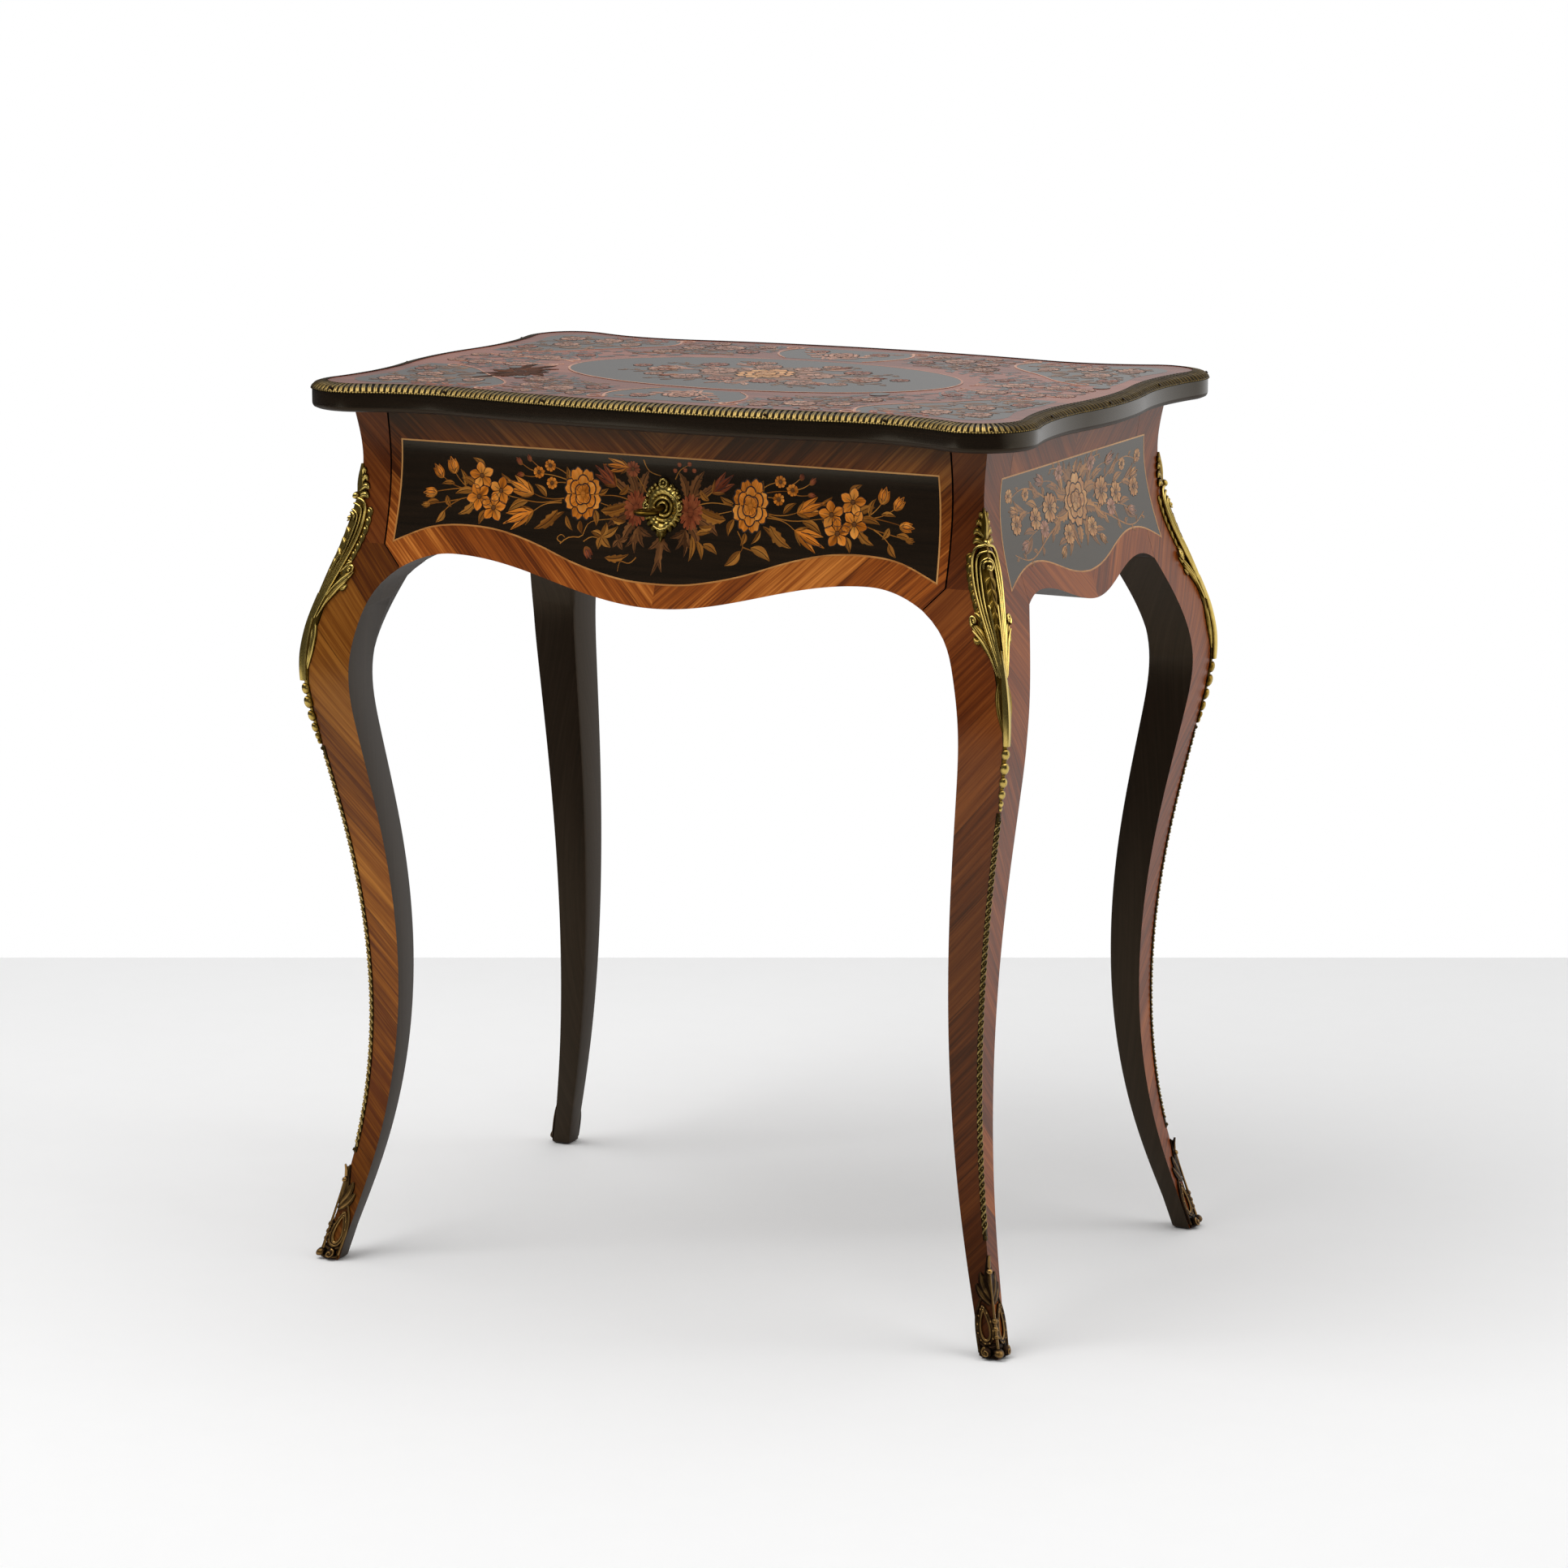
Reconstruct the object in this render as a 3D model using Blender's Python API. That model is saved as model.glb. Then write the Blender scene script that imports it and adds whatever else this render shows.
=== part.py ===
"""Serpentine occasional table on cabriole legs, with one locking drawer and bronze mounts.

Metres, +Z up. The origin is on the floor under the middle of the top, and the drawer opens towards -Y.
Every corner piece is drawn once, in the quarter where x and y point outwards, and mirrored to its corner.
"""

import math

import bmesh
import bpy
import numpy as np

# Overall sizes and the clearance between pieces that touch
HEIGHT = 0.740
TOP_LENGTH = 0.638
TOP_DEPTH = 0.434
FIT = 0.0003
AXIS_MARK = 0.03
SMOOTH_ANGLE = 40

# Top: tangent arcs in plan, an ebonised board, an inset veneer and a rim band
TOP_THICKNESS = 0.022
LOBE_RADIUS = 0.0435
FRONT_BOW_RADIUS = 0.944
FRONT_SCOOP_RADIUS = 0.154
SIDE_BOW_RADIUS = 0.328
SIDE_SCOOP_RADIUS = 0.247
BOARD_ARRIS = 0.004
BAND_WIDTH = 0.0104
BAND_HEIGHT = 0.0062
BAND_OVERHANG = 0.0012
VENEER_THICKNESS = 0.0012
VENEER_DROP = 0.0005
BAND_SECTION = {
    "foot": (0.00, 0.00),
    "lip": (0.00, 0.25),
    "ovolo": (0.20, 0.55),
    "crown": (0.60, 0.92),
    "inner_edge": (1.00, 1.00),
    "inner_foot": (1.00, 0.00),
}
TOP_ARC_STEPS = {"side_bow": 3, "side_scoop": 4, "lobe": 8, "front_scoop": 4, "front_bow": 4}

# Cabriole curve: how far the outer faces stand out from the foot. The lower leg is set by heights above
# the floor, and the upper leg by depths below the top's underside
FOOT_SPAN_X = 0.623
FOOT_SPAN_Y = 0.418
LOWER_LEG = {
    "foot": (0.000, 0.0000),
    "shin": (0.100, -0.0231),
    "ankle": (0.215, -0.0329),
}
UPPER_LEG = {
    "calf": (0.358, -0.0208),
    "thigh": (0.268, -0.0041),
    "knee": (0.210, 0.0027),
    "flare": (0.133, -0.0140),
    "neck": (0.040, -0.0338),
    "shoulder": (0.000, -0.0288),
}
FOOT_WIDTH = 0.0167
KNEE_WIDTH = 0.0454
TAPER_START = 0.030
TAPER_END_DEPTH = 0.128
FOOT_CHAMFER = 0.0020
INNER_ROUND = 0.0030
LEG_STEP = 0.012

# Where the legs meet the drawer front and the aprons, with depths below the top's underside
POST_INNER_X = 0.252
POST_INNER_Y = 0.128
EAR_TIP_X = 0.2345
EAR_TIP_DEPTH = 0.128
EAR_TOP_DEPTH = 0.110
FRONT_EAR_DEPTH = 0.173
FRONT_EAR_POWER = 3.0
SIDE_EAR_DEPTH = 0.228
SIDE_EAR_POWER = 1.5
NOTCH = 0.0025

# Scalloped lower edges: depth of the middle drop and of the two arches, and the arches' place
FRONT_DROP_DEPTH = 0.143
FRONT_ARCH_DEPTH = 0.1135
FRONT_ARCH_X = 0.186
SIDE_DROP_DEPTH = 0.141
SIDE_ARCH_DEPTH = 0.1205
SIDE_ARCH_Y = 0.100
BACK_APRON_INNER_Y = 0.150
APRON_COLUMNS = 36
APRON_LEVELS = 8

# Drawer, on a front rail and two runners
DRAWER_GAP = 0.0015
DRAWER_FRONT_BACK_Y = 0.153
DRAWER_RUNNING_GAP = 0.0006
DRAWER_SIDE_THICKNESS = 0.009
DRAWER_SIDE_HEIGHT = 0.082
DRAWER_BACK_Y = 0.130
DRAWER_BOTTOM_THICKNESS = 0.006
DRAWER_BOTTOM_RISE = 0.006
GROOVE_DEPTH = 0.004
RAIL_THICKNESS = 0.014
RUNNER_LEDGE = 0.014
GUIDE_THICKNESS = 0.0105
GUIDE_HEIGHT = 0.022
BLOCK_SIZE = 0.010
BLOCK_LENGTH = 0.060
BLOCK_INSET_Y = 0.020

# Lock, key and escutcheon on one axis through the drawer front
LOCK_DEPTH = 0.065
CASE_WIDTH = 0.044
CASE_THICKNESS = 0.010
CASE_BELOW_KEY = 0.014
CASE_TOP_GAP = 0.0020
CHAMBER_RADIUS = 0.009
CHAMBER_THICKNESS = 0.005
CHAMBER_FACETS = 20
BOLT_WIDTH = 0.022
BOLT_THICKNESS = 0.004
BOLT_TRAVEL = 0.008
MORTISE_SLACK = 0.0010
KEY_RADIUS = 0.0022
KEY_HOLE_SLACK = 0.0005
KEY_HOLE_FACETS = 16
KEY_SHANK_FACETS = 12
KEY_REACH = 0.040
KEY_BOW_LENGTH = 0.022
KEY_BOW_WIDTH = 0.020
KEY_BOW_BAR = 0.0038
KEY_BOW_THICKNESS = 0.0030
KEY_BOW_FACETS = 24
KEY_BIT_LENGTH = 0.0070
KEY_BIT_WIDTH = 0.0030
ESCUTCHEON_WIDTH = 0.035
ESCUTCHEON_HEIGHT = 0.050
ESCUTCHEON_RELIEF = 0.0045
ESCUTCHEON_EDGE = 0.0014
ESCUTCHEON_SEAT = 0.0007
ESCUTCHEON_LOBES = 12
ESCUTCHEON_LOBE_DEPTH = 0.0010
ESCUTCHEON_FACETS = 48
ESCUTCHEON_CROWN_AT = 0.72
ESCUTCHEON_HOLLOW_AT = 0.45
ESCUTCHEON_HOLLOW_RELIEF = 0.0031

# Bronze corner mounts: half width on each face, and how far they stand proud of the arris, at depths
# below the top's underside for the knee mount and at heights above the floor for the foot mount
MOUNT_EDGE = 0.0012
MOUNT_STEP = 0.008
MOUNT_FLANK_AT = 0.50
MOUNT_FLANK_RISE = 0.75
MOUNT_ARRIS_SOFTENING = 0.80
KNEE_MOUNT = {
    "finial_tip": (0.048, 0.0020, 0.0022),
    "bud": (0.061, 0.0075, 0.0055),
    "collar": (0.074, 0.0060, 0.0042),
    "shoulder": (0.084, 0.0150, 0.0065),
    "cartouche": (0.106, 0.0185, 0.0070),
    "waist": (0.124, 0.0150, 0.0060),
    "scroll_tip": (0.138, 0.0265, 0.0058),
    "scroll_root": (0.158, 0.0130, 0.0058),
    "stem": (0.186, 0.0072, 0.0055),
    "stem_end": (0.228, 0.0050, 0.0050),
    "husk": (0.238, 0.0062, 0.0046),
    "husk_gap": (0.248, 0.0036, 0.0030),
    "drop": (0.258, 0.0050, 0.0040),
    "tail": (0.278, 0.0018, 0.0022),
}
FOOT_MOUNT = {
    "point": (0.079, 0.0016, 0.0020),
    "leaf": (0.060, 0.0062, 0.0030),
    "crook": (0.047, 0.0110, 0.0034),
    "rim": (0.030, 0.0150, 0.0036),
    "heel": (0.012, 0.0156, 0.0042),
    "sole": (0.0015, 0.0150, 0.0048),
}
LOOP_Z = 0.026
LOOP_INSET = 0.0082
LOOP_HALF_WIDTH = 0.0042
LOOP_HALF_HEIGHT = 0.0115
LOOP_FACETS = 14
TOE_RADIUS = 0.0046
TOE_Z = 0.0066
TOE_INSET = 0.0060
TOE_FACETS = (10, 6)
STRIP_TOP_DEPTH = 0.2795
STRIP_BOTTOM = 0.0900
STRIP_LEG = 0.0026
STRIP_PROUD = 0.0019
STRIP_STEP = 0.020

CORNERS = {
    "front_left": (-1, -1),
    "front_right": (1, -1),
    "back_left": (-1, 1),
    "back_right": (1, 1),
}
SIDES = {"left": -1, "right": 1}

# Heights that follow from the sizes above
UNDERSIDE = HEIGHT - TOP_THICKNESS
FRAME_TOP = UNDERSIDE - FIT
TAPER_END = UNDERSIDE - TAPER_END_DEPTH
EAR_TIP_Z = UNDERSIDE - EAR_TIP_DEPTH
EAR_TOP_Z = UNDERSIDE - EAR_TOP_DEPTH
LOCK_Z = UNDERSIDE - LOCK_DEPTH
STRIP_TOP = UNDERSIDE - STRIP_TOP_DEPTH
RAIL_BOTTOM = EAR_TOP_Z + FIT
RAIL_TOP = RAIL_BOTTOM + RAIL_THICKNESS
DRAWER_BASE = RAIL_TOP + FIT

# How far the middle of a rounded corner stands in from the sharp one, as a share of its radius
CORNER_CUT = 1 - math.sqrt(0.5)


def natural_spline(knots):
    """Smooth curve through (z, value) knots, with no bending at its two ends."""
    z, value = (np.array(column) for column in zip(*sorted(knots)))
    step = np.diff(z)
    count = len(z)
    system = np.eye(count)
    slopes = np.zeros(count)
    for i in range(1, count - 1):
        system[i, i - 1 : i + 2] = step[i - 1], 2 * (step[i - 1] + step[i]), step[i]
        slopes[i] = 6 * ((value[i + 1] - value[i]) / step[i] - (value[i] - value[i - 1]) / step[i - 1])
    bend = np.linalg.solve(system, slopes)

    def curve(at):
        i = min(max(int(np.searchsorted(z, at)) - 1, 0), count - 2)
        left, right = at - z[i], z[i + 1] - at
        return float(
            (bend[i] * right**3 + bend[i + 1] * left**3) / (6 * step[i])
            + (value[i] / step[i] - bend[i] * step[i] / 6) * right
            + (value[i + 1] / step[i] - bend[i + 1] * step[i] / 6) * left
        )

    return curve


def profile(stations):
    """Two smooth functions of height, half width and relief, from a mount's stations."""
    width = natural_spline([(z, half) for z, half, _ in stations])
    relief = natural_spline([(z, proud) for z, _, proud in stations])
    return width, relief


UPPER_CURVE = [(UNDERSIDE - depth, out) for depth, out in UPPER_LEG.values()]
CABRIOLE = natural_spline(list(LOWER_LEG.values()) + UPPER_CURVE)


def face_x(z):
    """Outer side face of the legs and side aprons at a height."""
    return FOOT_SPAN_X / 2 + CABRIOLE(z)


def face_y(z):
    """Outer front or back face of the legs, drawer front and back apron at a height."""
    return FOOT_SPAN_Y / 2 + CABRIOLE(z)


def leg_width(z):
    share = min(max((z - TAPER_START) / (TAPER_END - TAPER_START), 0.0), 1.0)
    return FOOT_WIDTH + (KNEE_WIDTH - FOOT_WIDTH) * share


def ear(z, depth, power):
    """Share of the bracket's reach that has grown out of the leg at a height, from 0 to 1."""
    start = UNDERSIDE - depth
    return min(max((z - start) / (EAR_TIP_Z - start), 0.0), 1.0) ** power


def leg_inner_x(z):
    """Inner edge of a leg's front face: taper, then bracket, then the straight post."""
    if z >= EAR_TOP_Z:
        return POST_INNER_X
    if z > EAR_TIP_Z:
        share = (z - EAR_TIP_Z) / (EAR_TOP_Z - EAR_TIP_Z)
        return EAR_TIP_X + (POST_INNER_X - EAR_TIP_X) * share
    reach = face_x(EAR_TIP_Z) - leg_width(EAR_TIP_Z) - EAR_TIP_X
    return face_x(z) - leg_width(z) - reach * ear(z, FRONT_EAR_DEPTH, FRONT_EAR_POWER)


def leg_inner_y(z):
    """Inner edge of a leg's side face."""
    if z >= EAR_TIP_Z:
        return POST_INNER_Y
    reach = face_y(EAR_TIP_Z) - leg_width(EAR_TIP_Z) - POST_INNER_Y
    return face_y(z) - leg_width(z) - reach * ear(z, SIDE_EAR_DEPTH, SIDE_EAR_POWER)


def scallop(along, drop_depth, arch_depth, arch_at, tip_at):
    """Lower edge of an apron: a middle drop, an arch each side, then down to the legs' brackets."""
    along = abs(along)
    drop, arch = UNDERSIDE - drop_depth, UNDERSIDE - arch_depth
    if along <= arch_at:
        return drop + (arch - drop) * (1 - math.cos(math.pi * along / arch_at)) / 2
    return arch - (arch - EAR_TIP_Z) * min((along - arch_at) / (tip_at - arch_at), 1.0) ** 2


def front_edge(x):
    """Lower edge of the drawer front and the back apron, cut back along the legs' brackets."""
    if abs(x) <= EAR_TIP_X:
        return scallop(x, FRONT_DROP_DEPTH, FRONT_ARCH_DEPTH, FRONT_ARCH_X, EAR_TIP_X)
    share = (abs(x) - EAR_TIP_X) / (POST_INNER_X - EAR_TIP_X)
    return EAR_TIP_Z + (EAR_TOP_Z - EAR_TIP_Z) * share


def side_edge(y):
    return scallop(y, SIDE_DROP_DEPTH, SIDE_ARCH_DEPTH, SIDE_ARCH_Y, POST_INNER_Y)


def finish(name, colour, roughness, metallic=0.0):
    made = bpy.data.materials.new(name)
    made.use_nodes = True
    shader = made.node_tree.nodes["Principled BSDF"]
    shader.inputs["Base Color"].default_value = (*colour, 1.0)
    shader.inputs["Roughness"].default_value = roughness
    shader.inputs["Metallic"].default_value = metallic
    made.diffuse_color = (*colour, 1.0)
    return made


def empty(name, location, parent=None):
    made = bpy.data.objects.new(name, None)
    bpy.context.collection.objects.link(made)
    made.parent = parent
    made.location = location
    made.empty_display_size = AXIS_MARK
    return made


def world_place(holder):
    """Where an empty stands, by adding up its parents' places."""
    place = np.zeros(3)
    while holder:
        place += np.array(holder.location)
        holder = holder.parent
    return place


def add_piece(name, mesh, material, holder, smooth_angle=None):
    """Turns a bmesh in world coordinates into a named object that hangs on an empty."""
    bmesh.ops.recalc_face_normals(mesh, faces=mesh.faces)
    bmesh.ops.translate(mesh, verts=mesh.verts, vec=-world_place(holder))
    data = bpy.data.meshes.new(name)
    mesh.to_mesh(data)
    mesh.free()
    if smooth_angle is not None:
        data.shade_smooth()
        data.set_sharp_from_angle(angle=math.radians(smooth_angle))
    data.materials.append(material)
    made = bpy.data.objects.new(name, data)
    bpy.context.collection.objects.link(made)
    made.parent = holder
    return made


def loft(rings, around=False):
    """Skin through rings of equally many points: capped at both ends, or joined end to start."""
    mesh = bmesh.new()
    made = [[mesh.verts.new(point) for point in ring] for ring in rings]
    size = len(rings[0])
    pairs = zip(made, made[1:] + made[:1]) if around else zip(made, made[1:])
    for lower, upper in pairs:
        for i in range(size):
            j = (i + 1) % size
            mesh.faces.new((lower[i], lower[j], upper[j], upper[i]))
    if not around:
        mesh.faces.new(made[0][::-1])
        mesh.faces.new(made[-1])
    return mesh


def prism(outline, start, end, axis):
    """Straight bar with a flat outline, along X, Y or Z. The outline gives the other two axes in order."""
    def at(point, where):
        full = list(point)
        full.insert("XYZ".index(axis), where)
        return tuple(full)

    return loft([[at(point, start) for point in outline], [at(point, end) for point in outline]])


def box(low, high):
    outline = [(low[0], low[1]), (high[0], low[1]), (high[0], high[1]), (low[0], high[1])]
    return prism(outline, low[2], high[2], "Z")


def oval(half_width, half_height, centre, count):
    turns = [2 * math.pi * i / count for i in range(count)]
    return [
        (centre[0] + half_width * math.cos(turn), centre[1] + half_height * math.sin(turn))
        for turn in turns
    ]


def combine(piece, tool_name, tool_mesh, operation):
    """Boolean with a helper shape that stays in the file as a hidden wire."""
    helper = add_piece(tool_name, tool_mesh, piece.data.materials[0], piece.parent)
    helper.hide_render = True
    helper.display_type = "WIRE"
    step = piece.modifiers.new(tool_name, "BOOLEAN")
    step.operation = operation
    step.solver = "EXACT"
    step.object = helper


def steps(low, high, spacing):
    """Even heights from low to high, both included, no further apart than the spacing."""
    return np.linspace(low, high, max(2, math.ceil((high - low) / spacing) + 1))


def at_corner(points, corner):
    """Moves points of the drawn quarter, where x and y point outwards, to a named corner."""
    sign_x, sign_y = CORNERS[corner]
    return [(sign_x * x, sign_y * y, z) for x, y, z in points]


def leg_ring(z, inset=0.0):
    """Six-sided section: outer arris, front face, rounded inner corner and side face."""
    out_x, out_y = face_x(z) - inset, face_y(z) - inset
    in_x, in_y = leg_inner_x(z) + inset, leg_inner_y(z) + inset
    core_x = max(out_x - leg_width(z) + inset, POST_INNER_X + NOTCH if z > EAR_TIP_Z else in_x)
    core_y = max(out_y - leg_width(z) + inset, in_y)
    return [
        (out_x, out_y, z),
        (in_x, out_y, z),
        (in_x, core_y + INNER_ROUND, z),
        (core_x + INNER_ROUND * CORNER_CUT, core_y + INNER_ROUND * CORNER_CUT, z),
        (core_x + INNER_ROUND, in_y, z),
        (out_x, in_y, z),
    ]


def add_leg(corner, material, holder):
    heights = list(steps(FOOT_CHAMFER, EAR_TIP_Z, LEG_STEP))
    heights += list(steps(EAR_TIP_Z, EAR_TOP_Z, LEG_STEP))[1:]
    heights += list(steps(EAR_TOP_Z, FRAME_TOP, LEG_STEP))[1:]
    rings = [leg_ring(0.0, FOOT_CHAMFER)] + [leg_ring(z) for z in heights]
    mesh = loft([at_corner(ring, corner) for ring in rings])
    add_piece(f"leg_{corner}", mesh, material, holder, smooth_angle=SMOOTH_ANGLE)


def mount_ring(z, half_width, relief):
    """Section of a bronze mount folded round the outer arris, thin at its edges and proud in the middle."""
    x, y = face_x(z), face_y(z)
    edge = FIT + MOUNT_EDGE
    crown = max(relief, edge)
    flank = edge + (crown - edge) * MOUNT_FLANK_RISE
    middle = half_width * MOUNT_FLANK_AT
    arris = crown * MOUNT_ARRIS_SOFTENING
    return [
        (x - half_width, y + FIT, z),
        (x - half_width, y + edge, z),
        (x - middle, y + flank, z),
        (x + arris, y + arris, z),
        (x + flank, y - middle, z),
        (x + edge, y - half_width, z),
        (x + FIT, y - half_width, z),
        (x + FIT, y + FIT, z),
    ]


def mount_mesh(stations, spacing, corner):
    width, relief = profile(stations)
    named = sorted(z for z, _, _ in stations)
    heights = []
    for low, high in zip(named, named[1:]):
        heights += list(steps(low, high, spacing))[:-1]
    rings = [mount_ring(z, width(z), relief(z)) for z in heights + [named[-1]]]
    return loft([at_corner(ring, corner) for ring in rings])


def add_knee_mount(corner, material, holder):
    stations = [(UNDERSIDE - depth, half, proud) for depth, half, proud in KNEE_MOUNT.values()]
    mesh = mount_mesh(stations, MOUNT_STEP, corner)
    add_piece(f"knee_mount_{corner}", mesh, material, holder, smooth_angle=SMOOTH_ANGLE)


def ball(radius, centre):
    mesh = bmesh.new()
    bmesh.ops.create_uvsphere(mesh, u_segments=TOE_FACETS[0], v_segments=TOE_FACETS[1], radius=radius)
    bmesh.ops.translate(mesh, verts=mesh.verts, vec=centre)
    return mesh


def add_foot_mount(corner, material, holder):
    """Shoe of two leafy loops and two scroll toes round the outer arris of the foot."""
    sign_x, sign_y = CORNERS[corner]
    name = f"foot_mount_{corner}"
    mesh = mount_mesh(list(FOOT_MOUNT.values()), LEG_STEP, corner)
    shoe = add_piece(name, mesh, material, holder, smooth_angle=SMOOTH_ANGLE)
    x, y = face_x(LOOP_Z), face_y(LOOP_Z)
    for wing, axis, across, through in (
        ("front", "Y", sign_x * (x - LOOP_INSET), sign_y * y),
        ("side", "X", sign_y * (y - LOOP_INSET), sign_x * x),
    ):
        loop = oval(LOOP_HALF_WIDTH, LOOP_HALF_HEIGHT, (across, LOOP_Z), LOOP_FACETS)
        cutter = prism(loop, through - FOOT_WIDTH, through + FOOT_WIDTH, axis)
        combine(shoe, f"{name}_{wing}_loop", cutter, "DIFFERENCE")
    toe_x, toe_y = face_x(TOE_Z), face_y(TOE_Z)
    proud = TOE_RADIUS + 2 * FIT
    front_toe = (sign_x * (toe_x - TOE_INSET), sign_y * (toe_y + proud), TOE_Z)
    side_toe = (sign_x * (toe_x + proud), sign_y * (toe_y - TOE_INSET), TOE_Z)
    combine(shoe, f"{name}_front_toe", ball(TOE_RADIUS, front_toe), "UNION")
    combine(shoe, f"{name}_side_toe", ball(TOE_RADIUS, side_toe), "UNION")


def add_edge_strip(corner, material, holder):
    """Thin angle strip on the outer arris, between the knee mount and the shoe."""
    def ring(z):
        x, y = face_x(z), face_y(z)
        return [
            (x + STRIP_PROUD, y + STRIP_PROUD, z),
            (x - STRIP_LEG, y + STRIP_PROUD, z),
            (x - STRIP_LEG, y + FIT, z),
            (x + FIT, y + FIT, z),
            (x + FIT, y - STRIP_LEG, z),
            (x + STRIP_PROUD, y - STRIP_LEG, z),
        ]

    mesh = loft([at_corner(ring(z), corner) for z in steps(STRIP_BOTTOM, STRIP_TOP, STRIP_STEP)])
    add_piece(f"edge_strip_{corner}", mesh, material, holder, smooth_angle=SMOOTH_ANGLE)


def apron_mesh(half_length, lower, face, inner, top, place):
    """Board with a scalloped lower edge and an outer face on the cabriole curve; place maps to the world."""
    rings = []
    for along in np.linspace(-half_length, half_length, APRON_COLUMNS + 1):
        bottom = lower(along)
        heights = np.linspace(bottom, top, APRON_LEVELS)
        ring = [place(along, face(z), z) for z in heights]
        rings.append(ring + [place(along, inner, top), place(along, inner, bottom)])
    return loft(rings)


def add_aprons(material, holder):
    for side, sign in SIDES.items():
        mesh = apron_mesh(
            POST_INNER_Y - FIT, side_edge, face_x, POST_INNER_X, FRAME_TOP,
            lambda along, out, z, sign=sign: (sign * out, along, z),
        )
        add_piece(f"apron_{side}", mesh, material, holder, smooth_angle=SMOOTH_ANGLE)
    mesh = apron_mesh(
        POST_INNER_X - FIT, front_edge, face_y, BACK_APRON_INNER_Y, FRAME_TOP,
        lambda along, out, z: (along, out, z),
    )
    add_piece("apron_back", mesh, material, holder, smooth_angle=SMOOTH_ANGLE)


def add_inner_frame(material, holder):
    """Front rail behind the drawer front, L-shaped drawer runners, and glue blocks under the top."""
    half = POST_INNER_X - FIT
    rail_front = -DRAWER_FRONT_BACK_Y + DRAWER_RUNNING_GAP
    rail = box((-half, rail_front, RAIL_BOTTOM), (half, -POST_INNER_Y, RAIL_TOP))
    add_piece("front_rail", rail, material, holder)
    guide = half - GUIDE_THICKNESS
    for side, sign in SIDES.items():
        section = [
            (sign * half, RAIL_BOTTOM),
            (sign * half, RAIL_TOP + GUIDE_HEIGHT),
            (sign * guide, RAIL_TOP + GUIDE_HEIGHT),
            (sign * guide, RAIL_TOP),
            (sign * (guide - RUNNER_LEDGE), RAIL_TOP),
            (sign * (guide - RUNNER_LEDGE), RAIL_BOTTOM),
        ]
        mesh = prism(section, -POST_INNER_Y + FIT, BACK_APRON_INNER_Y - FIT, "Y")
        add_piece(f"drawer_runner_{side}", mesh, material, holder)
        for place, facing in (("front", -1), ("back", 1)):
            near = POST_INNER_Y - BLOCK_INSET_Y
            section = [
                (sign * half, FRAME_TOP),
                (sign * (half - BLOCK_SIZE), FRAME_TOP),
                (sign * half, FRAME_TOP - BLOCK_SIZE),
            ]
            mesh = prism(section, facing * near, facing * (near - BLOCK_LENGTH), "Y")
            add_piece(f"glue_block_{place}_{side}", mesh, material, holder)


def add_drawer(front_material, box_material, holder):
    """Shaped front with a keyhole, and a grooved box behind it that rests on the rail and runners."""
    half = POST_INNER_X - DRAWER_GAP
    mesh = apron_mesh(
        half, lambda x: front_edge(x) + DRAWER_GAP * (abs(x) > EAR_TIP_X), face_y, DRAWER_FRONT_BACK_Y,
        UNDERSIDE - DRAWER_GAP, lambda along, out, z: (along, -out, z),
    )
    front = add_piece("drawer_front", mesh, front_material, holder, smooth_angle=SMOOTH_ANGLE)
    hole = oval(KEY_RADIUS + KEY_HOLE_SLACK, KEY_RADIUS + KEY_HOLE_SLACK, (0.0, LOCK_Z), KEY_HOLE_FACETS)
    combine(front, "keyhole", prism(hole, -FOOT_SPAN_Y, -POST_INNER_Y, "Y"), "DIFFERENCE")

    outer = POST_INNER_X - FIT - GUIDE_THICKNESS - DRAWER_RUNNING_GAP
    inner = outer - DRAWER_SIDE_THICKNESS
    top = DRAWER_BASE + DRAWER_SIDE_HEIGHT
    floor = DRAWER_BASE + DRAWER_BOTTOM_RISE
    ceiling = floor + DRAWER_BOTTOM_THICKNESS
    near = -DRAWER_FRONT_BACK_Y + FIT
    for side, sign in SIDES.items():
        section = [
            (sign * outer, DRAWER_BASE),
            (sign * outer, top),
            (sign * inner, top),
            (sign * inner, ceiling + FIT),
            (sign * (inner + GROOVE_DEPTH), ceiling + FIT),
            (sign * (inner + GROOVE_DEPTH), floor - FIT),
            (sign * inner, floor - FIT),
            (sign * inner, DRAWER_BASE),
        ]
        mesh = prism(section, near, DRAWER_BACK_Y, "Y")
        add_piece(f"drawer_side_{side}", mesh, box_material, holder)
    back_near = DRAWER_BACK_Y - DRAWER_SIDE_THICKNESS
    reach = inner - FIT
    mesh = box((-reach, back_near, ceiling + FIT), (reach, DRAWER_BACK_Y, top))
    add_piece("drawer_back", mesh, box_material, holder)
    reach = inner + GROOVE_DEPTH - FIT
    mesh = box((-reach, near, floor), (reach, DRAWER_BACK_Y, ceiling))
    add_piece("drawer_bottom", mesh, box_material, holder)


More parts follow.
